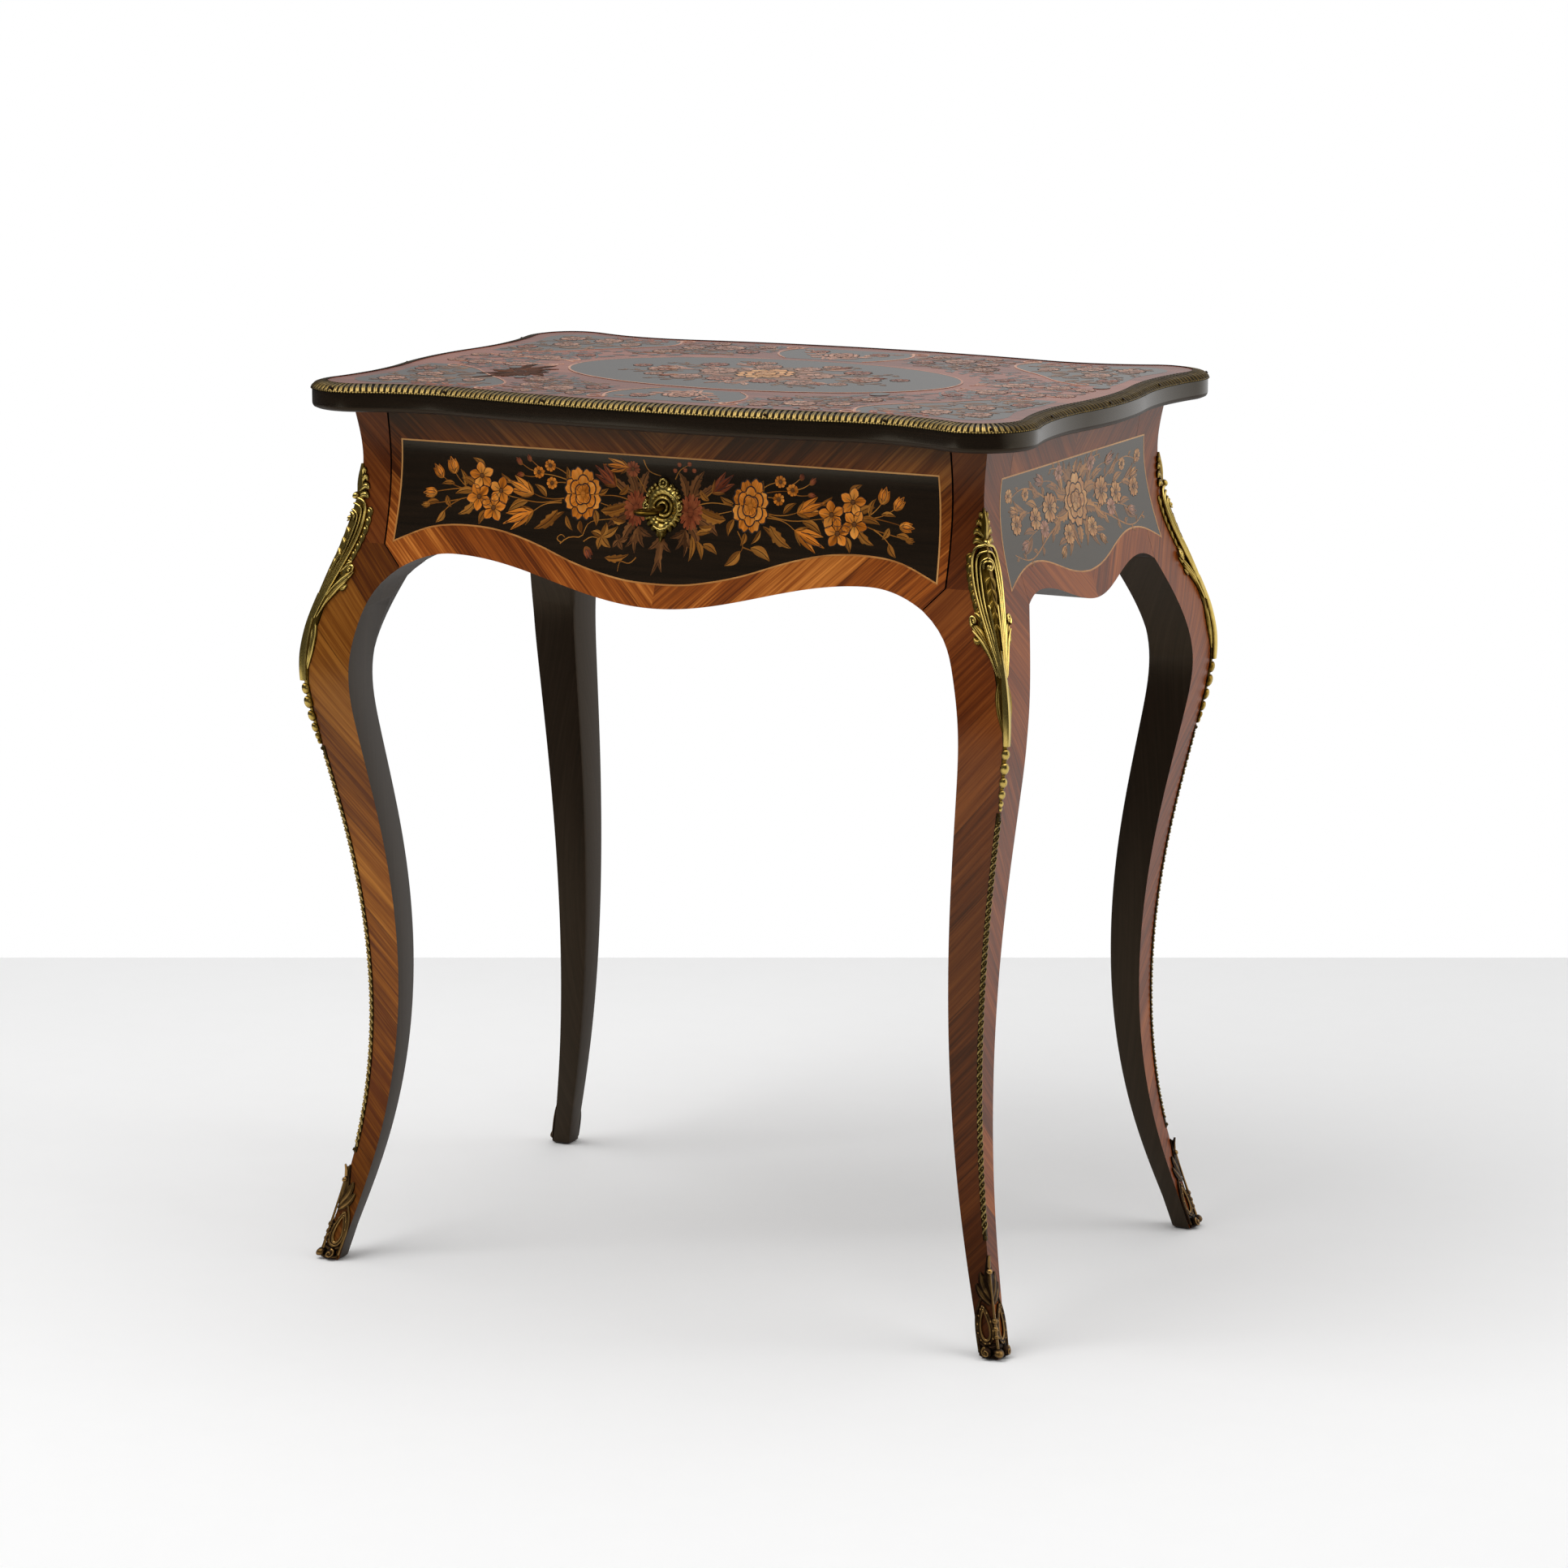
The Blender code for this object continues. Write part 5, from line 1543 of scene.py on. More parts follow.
@dataclass
class FriezePanel:
    """An ebonised panel with its stringing and its flowers, in millimetres."""

    name: str
    face: Face
    body: Body
    top: float
    top_half: float
    low_half: float
    lower: tuple[tuple[float, float], ...]
    string: float = 1.3

    def place(self, points: np.ndarray, lift: float) -> np.ndarray:
        """Place points on the panel's face."""
        return FORM.place(self.face, points[..., 0] * MM, points[..., 1] * MM, lift * MM)

    def build(self) -> tuple[bpy.types.Object, Shape]:
        """Build the panel and its stringing.

        Returns:
            The panel, and a shape for the flowers, still empty.
        """
        share = np.linspace(-1, 1, 81)
        low = np.stack([self.low_half * share, natural_spline(self.lower)(np.abs(self.low_half * share))], axis=1)
        high = np.stack([self.top_half * share, np.full(81, self.top)], axis=1)
        points = low + (high - low) * np.linspace(0, 1, 16)[:, None, None]
        ground = Shape(f"{self.name}_ebonised")
        ground.slab(self.place(points, 0.06), self.place(points, PLATE_BACK), EBONISED, points * MM + 0.7)
        panel = ground.make(self.body, Slot.EBONISED)
        lines = Shape(f"{self.name}_stringing")
        pen, width = Pen(lines, self.place), self.string
        slope = width * (high[-1] - low[-1]) / np.hypot(*(high[-1] - low[-1]))
        pen.between(low, low + [0, width], BOXWOOD, 0.12)
        pen.between(high, high - [0, width], BOXWOOD, 0.12)
        edge = smooth([low[-1], high[-1]], 16)
        inner = smooth([low[-1] + slope - [width, 0], high[-1] - slope - [width, 0]], 16)
        for sign in (-1, 1):
            pen.between(edge * [sign, 1], inner * [sign, 1], BOXWOOD, 0.12)
        lines.make(self.body, Slot.KINGWOOD)
        return panel, Shape(f"{self.name}_flowers")


FRONT_LINE = (
    (0, 593), (25.7, 594), (45, 597), (64.5, 601.3), (84, 607), (104, 614), (124, 620), (144, 624.5), (178, 627),
    (196, 626), (215.2, 622), (228, 617), (244, 610),
)
SIDE_LINE = (
    (0, 597.6), (20, 599.5), (40, 604), (60, 610.5), (80, 616), (100, 618), (120, 615.5), (137, 610), (153, 603),
)


def dress_frieze() -> None:
    """Build the four panels with their flowers."""
    for name, face, body, halves in (
        ("drawer_panel", Face.FRONT, Body.DRAWER, (garland_left, garland_right)),
        ("back_panel", Face.BACK, Body.FRAME, (garland_right, garland_right)),
    ):
        board = FriezePanel(name, face, body, 694, 240.5, 244, FRONT_LINE)
        panel, flowers = board.build()
        if face is Face.FRONT:
            cut_keyhole(panel)
        for sign, half in zip((-1, 1), halves):
            pen = Pen(flowers, board.place, (sign, 1))
            garland_half(pen)
            half(pen)
        middle = Pen(flowers, board.place)
        if face is Face.BACK:
            # A rose takes the lock's place.
            middle.rose((0, 655), 16, 19, finish=REDWOOD)
        garland_middle(middle)
        flowers.make(body, Slot.MARQUETRY)
    for face in (Face.LEFT, Face.RIGHT):
        side = FriezePanel(f"{face.value}_panel", face, Body.FRAME, 690, 144, 153, SIDE_LINE)
        _, flowers = side.build()
        for sign in (-1, 1):
            side_half(Pen(flowers, side.place, (1.16 * sign, 1), pale_woods=True))
        side_middle(Pen(flowers, side.place, pale_woods=True))
        flowers.make(Body.FRAME, Slot.MARQUETRY)


def top_quarter(pen: Pen) -> None:
    """Lay one quarter of the top's ornament: ebonised panels in strapwork, with sprays on them and between them."""
    shield = smooth((50, 184, 59, 160, 54, 136, 36, 112), 24)
    inner = smooth((170, 181, 160, 152, 178, 122, 206, 96, 232, 68, 264, 50), 24)
    outer = smooth((176, 182, 230, 176, 270, 184, 287, 172, 282, 128, 285, 84, 285, 52), 24)
    pen.between(shield * [0, 1], shield, EBONISED, 0.06)
    pen.between(inner, outer, EBONISED, 0.06)
    scrolls = ((60, 178), 200, -1.2), ((162, 176), -20, 1.2), ((258, 56), 240, 1.1)
    for line in [shield, inner] + [spiral(centre, 9, 2.5, first, turns) for centre, first, turns in scrolls]:
        pen.strip(line, 2.4, 1.4, TULIPWOOD, 0.26, 30)
    for *line, size, finish in (
        (66, 166, 96, 176, 130, 171, 152, 178, 20, EBONISED), (62, 138, 90, 149, 122, 146, 150, 154, 22, EBONISED),
        (70, 118, 100, 128, 130, 121, 152, 128, 20, EBONISED), (112, 102, 138, 92, 160, 74, 176, 58, 18, EBONISED),
        (188, 34, 212, 52, 236, 44, 262, 42, 18, EBONISED), (196, 10, 228, 6, 260, 9, 288, 6, 14, EBONISED),
        (98, 108, 120, 118, 142, 134, 156, 142, 14, EBONISED), (150, 96, 172, 98, 192, 84, 214, 64, 14, EBONISED),
        (178, 40, 196, 66, 222, 58, 246, 52, 14, EBONISED), (182, 20, 206, 38, 234, 34, 264, 40, 18, EBONISED),
        (190, 16, 224, 18, 252, 13, 282, 16, 16, EBONISED), (100, 140, 120, 134, 142, 120, 160, 118, 14, WALNUT),
        (64, 150, 92, 161, 126, 158, 154, 164, 15, WALNUT), (84, 110, 112, 114, 140, 104, 168, 86, 15, WALNUT),
        (182, 8, 210, 24, 240, 20, 274, 30, 16, TULIPWOOD), (172, 150, 205, 150, 240, 160, 274, 171, 20, WALNUT),
        (188, 118, 222, 130, 256, 136, 281, 128, 20, WALNUT), (214, 92, 244, 104, 276, 104, 18, WALNUT),
        (240, 64, 262, 74, 282, 68, 16, WALNUT), (176, 166, 204, 170, 236, 170, 14, REDWOOD),
        (3, 116, 12, 136, 26, 152, 40, 174, 16, TULIPWOOD),
    ):
        pen.spray(line, size, 4, finish, 0.08 if finish is EBONISED else 0.18)
    for x, y, petals, far, finish in (
        (108, 152, 6, 15, TULIPWOOD), (138, 142, 5, 11, TULIPWOOD), (82, 134, 6, 11, REDWOOD),
        (82, 172, 5, 9, TULIPWOOD), (128, 176, 5, 9, TULIPWOOD), (150, 108, 6, 10, TULIPWOOD),
        (226, 152, 6, 14, TULIPWOOD), (262, 154, 6, 13, TULIPWOOD), (248, 116, 6, 13, TULIPWOOD),
        (270, 86, 5, 10, REDWOOD), (196, 136, 5, 10, TULIPWOOD), (216, 24, 6, 14, TULIPWOOD),
        (252, 26, 6, 12, TULIPWOOD), (278, 20, 5, 9, TULIPWOOD), (194, 52, 5, 9, REDWOOD), (28, 164, 5, 9, REDWOOD),
    ):
        pen.flower((x, y), petals, far, 0.2, 70, finish=finish, shade=0.8)


def top_bouquet(pen: Pen) -> None:
    """Lay one half of the bouquet in the middle of the top."""
    for line in (
        (8, 0, 40, 10, 72, 6, 98, 14), (8, -8, 36, -24, 66, -34), (6, 10, 24, 36, 40, 58), (2, -14, 10, -44, 6, -70),
    ):
        pen.strip(line, 1.4, 0.6, TULIPWOOD, 0.2)
    for k in range(7):
        way = ray(30 * k - 90)
        pen.leaf(8 * way, way * [66, 52], 22, 0.1, 5, WALNUT, 0.85, 0.1)
    for row in (
        (22, 18, 38, 34, 10), (28, 38, 20, 58, 9, 0.12), (34, 46, 54, 62, 9, -0.12), (50, 12, 66, 28, 9),
        (66, 6, 88, -2, 9), (74, 8, 94, 24, 8, -0.1), (30, -20, 52, -16, 9), (44, -28, 48, -48, 9, -0.1),
        (54, -32, 78, -38, 9), (10, -36, 30, -52, 9), (8, -44, -2, -66, 8), (8, -56, 18, -72, 7),
    ):
        pen.leaf(row[:2], row[2:4], *row[4:], teeth=3, finish=TULIPWOOD, shade=0.75, layer=0.22)
    for row in (
        (36, 54, 46, 72, 10), (90, 12, 104, 18, 9), (62, -32, 74, -46, 9), (80, 0, 98, -10, 8),
    ):
        pen.bud(row[:2], row[2:4], row[4], REDWOOD)
    for line in (
        (60, 14, 84, 34, 104, 40), (70, -8, 96, -20, 120, -18), (16, 44, 30, 62, 52, 74), (30, -40, 54, -58, 76, -58),
    ):
        pen.spray(line, 15, 3, WALNUT, 0.18)
    for x, y, far, finish in (
        (44, 6, 18, TULIPWOOD), (92, 0, 15, TULIPWOOD), (52, -38, 15, TULIPWOOD), (66, 42, 13, REDWOOD),
        (18, 46, 13, TULIPWOOD), (20, -40, 13, REDWOOD), (30, 68, 9, TULIPWOOD), (84, -34, 9, TULIPWOOD),
        (118, 12, 9, REDWOOD),
    ):
        pen.flower((x, y), 6, far, 0.2, 60, finish=finish, shade=0.8)


@dataclass
class TopMarquetry:
    """The flowers of the top: an oval with a bouquet, among panels and sprays."""

    surface: float = 0.7395
    half_length: float = 174.0
    half_width: float = 102.0
    string: float = 2.0

    def place(self, points: np.ndarray, lift: float) -> np.ndarray:
        """Place points in millimetres on the top."""
        height = np.full(points.shape[:-1] + (1,), self.surface + lift * MM)
        return np.concatenate([points * MM, height], axis=-1)

    def build(self) -> None:
        """Build the arabesques, the oval and the bouquet."""
        for half, up in (("front", -1), ("back", 1)):
            shape = Shape(f"top_arabesques_{half}")
            for side in (1, -1):
                top_quarter(Pen(shape, self.place, (side, up)))
            pen = Pen(shape, self.place)
            pen.rose((0, 146 * up), 17, 16, finish=TULIPWOOD)
            if up < 0:
                self.stains(pen)
            shape.make(Body.FRAME, Slot.MARQUETRY)
        x = self.half_length * np.sin(np.linspace(-1, 1, 81) * math.pi / 2)
        edge = np.maximum(self.half_width * np.sqrt(np.clip(1 - (x / self.half_length) ** 2, 0, 1)), 0.6)
        oval = Shape("top_oval_ebonised")
        pen = Pen(oval, self.place)
        high, low = np.stack([x, edge], axis=1), np.stack([x, -edge], axis=1)
        pen.between(low, high, EBONISED, 0.28)
        for line in (high, low):
            inner = line * [1 - self.string / self.half_length, 1 - self.string / self.half_width]
            pen.between(line, inner, TULIPWOOD, 0.34, 0.95)
        oval.make(Body.FRAME, Slot.EBONISED)
        flowers = Shape("top_bouquet")

        def above(points: np.ndarray, lift: float) -> np.ndarray:
            """Place points over the oval's plates."""
            return self.place(points, lift + 0.2)

        for sign in (-1, 1):
            top_bouquet(Pen(flowers, above, (sign, 1)))
        Pen(flowers, above).rose((0, 4), 26, 30, finish=BOXWOOD)
        flowers.make(Body.FRAME, Slot.MARQUETRY)

    def stains(self, pen: Pen) -> None:
        """Lay a bloom beside the oval that has kept its dark colour, and four small dark marks."""
        bloom = np.array([-188, -72])
        for k in range(11):
            reach = 0.62 + 0.12 * (5 * k % 4)
            tip = bloom + reach * ray(33 * k + 10) * [38, 56]
            pen.leaf(bloom, tip, 11, 0.1, 3, STAINED, 0.8 + 0.2 * (k % 3), 0.34)
        pen.rose(bloom, 12, 15, 40, STAINED)
        for x, y, size in ((141, -75, 8), (283, 42, 7), (-206, -48, 5), (-170, -104, 5)):
            pen.disc((x, y), size, 1.2 * size, EBONISED, 1.0, 0.44)


# ---------------------------------------------------------------- bronze mounts


@dataclass
class Relief:
    """Models raised ornament on a surface, in millimetres across, up and out of it."""

    shape: Shape
    place: Callable[[np.ndarray, np.ndarray, np.ndarray], np.ndarray]
    finish: Finish
    # A factor on the tone of lobes and ribs: painted light.
    painted_gilt_light: float = 1.0
    flip: int = 1

    def halves(self) -> tuple["Relief", "Relief"]:
        """Give what models the left half of an ornament, turned over, and what models the right half."""
        return replace(self, flip=-1), replace(self, flip=1)

    def lobe(
        self,
        line: Line,
        width: Spread,
        height: float,
        base: float = 0.6,
        groove: float = 0.35,
        flutes: int = 0,
        count: int = 15,
        tone: float = 1.0,
    ) -> None:
        """Model a domed leaf along a line.

        Args:
            line: Points that its middle runs through.
            width: Its full width, or its widths spread along the line.
            height: How far its back rises above its edges.
            base: How far its edges stand out.
            groove: How deep its midrib is cut, as a share of the height.
            flutes: How many flutes run along each half.
            count: How many points it gets along the line.
            tone: How bright it is.
        """
        line = smooth(line, count) * [self.flip, 1]
        side, t = across(line), np.linspace(0, 1, count)
        if np.isscalar(width):
            half = width / 2 * np.sin(math.pi * np.clip(0.06 + 0.9 * t, 0, 1)) ** 0.7
        else:
            half = np.interp(t, np.linspace(0, 1, len(width)), width) / 2
        half = np.maximum(half, 0.25)[:, None]
        c = np.linspace(-1, 1, 9 + 6 * min(flutes, 3))
        dome = np.sqrt(np.clip(1 - c**2, 0, 1)) * (1 - groove * np.exp(-((c / 0.2) ** 2)))
        if flutes:
            dome = dome * (0.74 + 0.26 * np.cos(2 * math.pi * flutes * c))
        rise = dome * (0.35 + 0.65 * np.sin(math.pi * np.clip(t, 0.08, 0.92)))[:, None]
        points = line[:, None] + side[:, None] * (half * c)[..., None]
        shade = self.painted_gilt_light * tone * (0.12 + 0.88 * dome) + 0 * rise
        s, z = points[..., 0], points[..., 1]
        top, back = self.place(s, z, base + height * rise), self.place(s, z, 0 * s + MOUNT_BACK)
        self.shape.slab(top, back, self.finish, None, shade)

    def rib(
        self,
        line: Line,
        radius: Spread,
        lift: Spread = 1.0,
        loop: bool = False,
        count: int = 20,
        tone: float = 1.0,
    ) -> None:
        """Model a round rib along a line.

        Args:
            line: Points that it runs through; a loop's points are taken as they are.
            radius: Its radius, or its radii spread along the line.
            lift: How far its middle stands out, or lifts spread along the line.
            loop: Whether its ends meet.
            count: How many points it gets along the line.
            tone: How bright it is.
        """
        line = (line if loop else smooth(line, count)) * np.array([self.flip, 1])
        side, t = across(line, loop), np.linspace(0, 1, len(line))
        size = np.interp(t, np.linspace(0, 1, np.size(radius)), np.atleast_1d(radius))[:, None]
        out = np.interp(t, np.linspace(0, 1, np.size(lift)), np.atleast_1d(lift))[:, None]
        cos, sin = circle(8).T
        points = line[:, None] + side[:, None] * (size * cos)[..., None]
        shade = self.painted_gilt_light * tone * np.clip(0.45 + 0.6 * sin, 0.05, 1) + 0 * size
        rings = self.place(points[..., 0], points[..., 1], out + size * sin)
        self.shape.tube(rings, self.finish, None, shade, loop)

    def bead(self, s: float, z: float, radius: float, lift: float = 0.4, tall: float = 1.0, tone: float = 1.0) -> None:
        """Model a round bead, or an upright oval one.

        Args:
            s: Its place across the surface.
            z: Its place up the surface.
            radius: Its radius.
            lift: How far its middle stands out.
            tall: Its height, as a share of its width.
            tone: How bright it is.
        """
        cos, sin = circle(12).T
        up = np.radians([-35, 0, 30, 58, 80])[:, None]
        ring, out = radius * np.cos(up), lift + radius * np.sin(up) + 0 * cos
        shade = tone * np.clip(0.3 + 0.8 * np.sin(up), 0.05, 1) + 0 * cos
        rings = self.place(self.flip * s + ring * cos, z + tall * ring * sin, out)
        self.shape.tube(rings, self.finish, None, shade)


@dataclass
class Corner:
    """The mounts on one leg's outer arris: knee mount, strip and foot mount."""

    end: str
    side: str
    right: int
    back: int
    ribbon_pitch: float = 6.2
    # A factor on the gilt's tone: painted light, raised on the left mounts.
    painted_gilt_light: float = 1.0
    fold: float = 4.0
    lowest: float = 0.8 * MM

    def place(self, s: np.ndarray, z: np.ndarray, h: np.ndarray) -> np.ndarray:
        """Fold points round the leg's outer arris.

        Args:
            s: Millimetres from the arris, negative on the front or back face.
            z: Millimetres above the floor.
            h: Millimetres out of the wood.

        Returns:
            The points, in the table's frame.
        """
        s, z, h = np.broadcast_arrays(s, z, h)
        turn = math.pi / 4 * (1 + np.tanh(s / self.fold))
        tall = np.maximum(z * MM, self.lowest)
        x = FORM.out_x(tall) - np.where(s < 0, -s, 0) * MM + h * MM * np.sin(turn)
        y = FORM.out_y(tall) - np.where(s > 0, s, 0) * MM + h * MM * np.cos(turn)
        return np.stack([self.right * x, self.back * y, tall], axis=-1)

    def slim(self, s: np.ndarray, z: np.ndarray, h: np.ndarray) -> np.ndarray:
        """Fold the knee mount's points, drawn in towards the arris above its stem."""
        return self.place(s * (1 - 0.22 * step(z, 530.0, 565.0)), z, h)

    def build(self) -> None:
        """Build the three mounts."""
        for part, model, place, slot, finish in (
            ("knee_mount", self.knee_mount, self.slim, Slot.GILT, GILT),
            ("edge_strip", self.edge_strip, self.place, Slot.BRASS, BRASS),
            ("foot_mount", self.foot_mount, self.place, Slot.AGED, AGED),
        ):
            node = f"{part}_{self.end}_{self.side}"
            shape = Shape(f"{node}_chased")
            model(Relief(shape, place, finish, self.painted_gilt_light))
            shape.make(Body.FRAME, slot, [node], sharp=50)

    def knee_mount(self, relief: Relief) -> None:
        """Model the gilt mount on the knee: a bud over a scrolled cartouche, leaves, and a drop on a long stem."""
        # The plate behind it all: half its width at depths below the top.
        depth = (48, 61, 74, 84, 106, 124, 138, 158, 186, 228, 238, 248, 258, 278)
        plate = (1.6, 6.0, 5.0, 12.5, 15.5, 12.0, 15.0, 9.5, 5.6, 2.4, 3.0, 2.0, 2.4, 1.2)
        at = np.linspace(48, 278, 60)
        middle = [(0, 718 - d) for d in at[::6]] + [(0, 440)]
        relief.lobe(middle, 2 * np.interp(at, depth, plate), 1.5, 0.5, 0.0, 0, 60, 0.5)
        # A flame of leaves, the stem and a chain of drops.
        relief.lobe((0, 646, 0.8, 658, -0.6, 671), (9, 10.5, 7, 1.4), 3.6, 0.8, 0.3, 1)
        relief.bead(0, 645, 3.0, 2.4)
        relief.rib(spiral((0.5, 627), 5.2, 1.0, 200, -1.3), (1.0, 0.7), 3.0)
        relief.bead(0.5, 627, 1.6, 2.8)
        relief.rib((0, 566, 0, 530, 0, 494), (0.9, 2.4, 2.8, 2.4), 2.8, tone=1.15)
        for z, size in ((487, 3.3), (475.5, 3.6), (464, 3.2), (454, 2.8), (446.5, 2.0), (442, 1.4)):
            relief.bead(0, z, size, 1.4, 1.5, 0.85)
        for half in relief.halves():
            # Leaves that curl away from the flame, and its collar.
            for start, up, reach, size in ((2, 662, 5, 4), (2.5, 656, 8, 5.5), (2, 649, 11.5, 6.5), (1, 642, 13, 6.5)):
                half.lobe((start, up, 0.7 * reach, up + 4.2, reach, up + 1.6), size, 2.8, 0.9, 0.35, 1)
            # Ridges of the cartouche, which run down to the stem.
            for wide, high, size in ((15.6, 643.0, 1.5), (11.8, 638.5, 1.1), (8.2, 633.5, 1.0), (4.8, 611.0, 0.9)):
                upper = (0.3, high), (0.62 * wide, high - 2.5), (wide, high - 15)
                lower = (0.97 * wide, 604 - 0.6 * (16 - wide)), (0.62 * wide, 578), (0.3 + 0.13 * wide, 546)
                ridge = np.array(upper + lower)
                radii = size * np.array([0.8, 1.2, 1.2, 1.0, 0.7])
                half.rib(ridge[2 if wide < 5 else 0 :], radii, (2.2, 2.8, 2.8, 2.8), count=34)
                if wide > 15:
                    # The ruffle outside the rim.
                    for at in smooth(ridge, 17)[3:11]:
                        half.lobe([at - [1, -2], at + [3.4, 0], at + [6, -5]], 9.0, 1.8, 0.5, 0.35, 1)
            # Small leaves that fill the middle of the cartouche.
            for k in range(5):
                low = 619 - 8.5 * k
                leaf = (0.4, low, 4.2 - 0.4 * k, low - 4, 4.6 - 0.5 * k, low - 10)
                half.lobe(leaf, 5.0 - 0.4 * k, 1.8, 1.6, 0.35, 1, tone=0.85)
            # A leaf that springs from the stem and sweeps out to a curled tip.
            half.lobe((3, 546, 8, 560, 15, 572, 22, 580, 27, 585), (2.5, 6, 11, 12, 4), 2.6, 0.7, 0.35, 2, 26)
            half.lobe((12, 584, 17, 590, 21, 592), 7.0, 2.4, 0.8, 0.35, 1)
            half.lobe((19, 572, 23.5, 571, 26, 574), 5.0, 2.0, 0.8, 0.35, 1)
            half.rib((4.5, 547, 11, 563, 18, 573, 25, 579), (0.7, 1.2, 1.2, 0.8), 2.4)
            half.rib(spiral((22.5, 586.5), 4.2, 0.8, 300, 1.1), (1.6, 0.9), 2.6)
            half.bead(22.5, 586.5, 1.5, 2.4)
            # The ribbed leaf behind the stem.
            half.lobe((2, 546, 5, 532, 4.6, 516, 2.4, 504), (4, 6, 5, 2), 2.0, 0.6, 0.3, 2, 18)

    def edge_strip(self, relief: Relief) -> None:
        """Model the strip on the arris: slanted ribbons with beads between them, and a pin at each end."""
        relief.lobe((0, 90, 0, 264, 0, 438.5), (5.4, 5.4), 0.3, 0.5, 0.0, 0, 60, 0.4)
        for z in np.arange(96.0, 430.0, self.ribbon_pitch):
            ribbon = (-2.5, z - 1.0, -1.2, z + 2.2, 1.2, z + 4.4, 2.5, z + 7.6)
            relief.rib(ribbon, (0.51, 0.85, 0.85, 0.51), 1.0, count=9, tone=0.72)
            for k in range(3):
                relief.bead(-1.6 + 1.6 * k, z + 4.2 + 2.4 * k, 0.7, 0.8, tone=0.7)
        for pin in (92.5, 436):
            relief.bead(0, pin, 1.6, 0.5, tone=0.5)

    def foot_mount(self, relief: Relief) -> None:
        """Model the foot mount: a leaf point over open loops, on two scrolled toes."""

        def teardrop(wide: float, high: float) -> np.ndarray:
            """Give points round a loop that is round below and drawn to a point above."""
            cos, sin = circle(26).T
            s = 8.2 + 1.25 * wide * cos * np.sqrt(np.maximum(0.5 - 0.42 * sin, 0.1))
            return np.stack([s, 26 + high * sin], axis=1)

        relief.lobe((0, 50, 0, 66, 0, 79), (10, 11, 6, 1.6), 1.8, 0.7, 0.3, 1, 20, 0.85)
        relief.bead(0, 67, 2.4, 1.8)
        relief.rib((0, 70, 0, 76, 0, 80), (1.4, 1.2, 0.7), (1.5, 2.8, 5.0), count=8, tone=0.8)
        relief.bead(0, 6.2, 3.6, 3.0, tone=0.75)
        relief.rib((0, 78, 0, 66, 0, 40, 0, 8), (0.6, 0.7, 1.0, 1.2), 2.0)
        for z, size in ((30, 2.6), (24, 2.4), (18, 2.2)):
            relief.bead(0, z, size, 1.6, tone=0.75)
        for half in relief.halves():
            half.lobe((1.5, 46, 5.5, 55, 7.5, 65), 8.0, 2.0, 0.8, 0.35, 1, tone=0.9)
            half.lobe((2, 42, 8, 49, 12, 56), 8.0, 2.0, 0.8, 0.35, 1, tone=0.9)
            for grow, size, tone in ((0.0, 1.05, 0.85), (1.3, 1.0, 0.35), (2.6, 1.15, 0.6)):
                half.rib(teardrop(4.4 + 0.8 * grow, 11.5 + grow), size, 1.2, True, tone=tone)
            for s, z in teardrop(6.7, 14.1)[::2]:
                half.bead(s, z, 0.8, 1.9, tone=0.9)
            half.lobe((0, 11, 8, 9, 15, 12), (5, 6, 5, 4), 2.2, 0.8, 0.2, 1, tone=0.55)
            half.rib((15, 5, 15.6, 20, 14.2, 34, 9, 46), (1.6, 1.5, 1.3, 0.8), 1.1, tone=0.6)
            half.bead(8.5, 6.4, 4.4, 2.4, tone=0.55)
            half.rib(spiral((8.5, 6.4), 3.6, 0.8, 90, -1.3), (0.8, 0.5), (4.8, 6.6), count=16, tone=0.9)
            half.lobe((1, 3.4, 8, 3, 15, 3.6), (3.4, 4.4, 3.4), 2.0, 0.8, 0.0, tone=0.4)


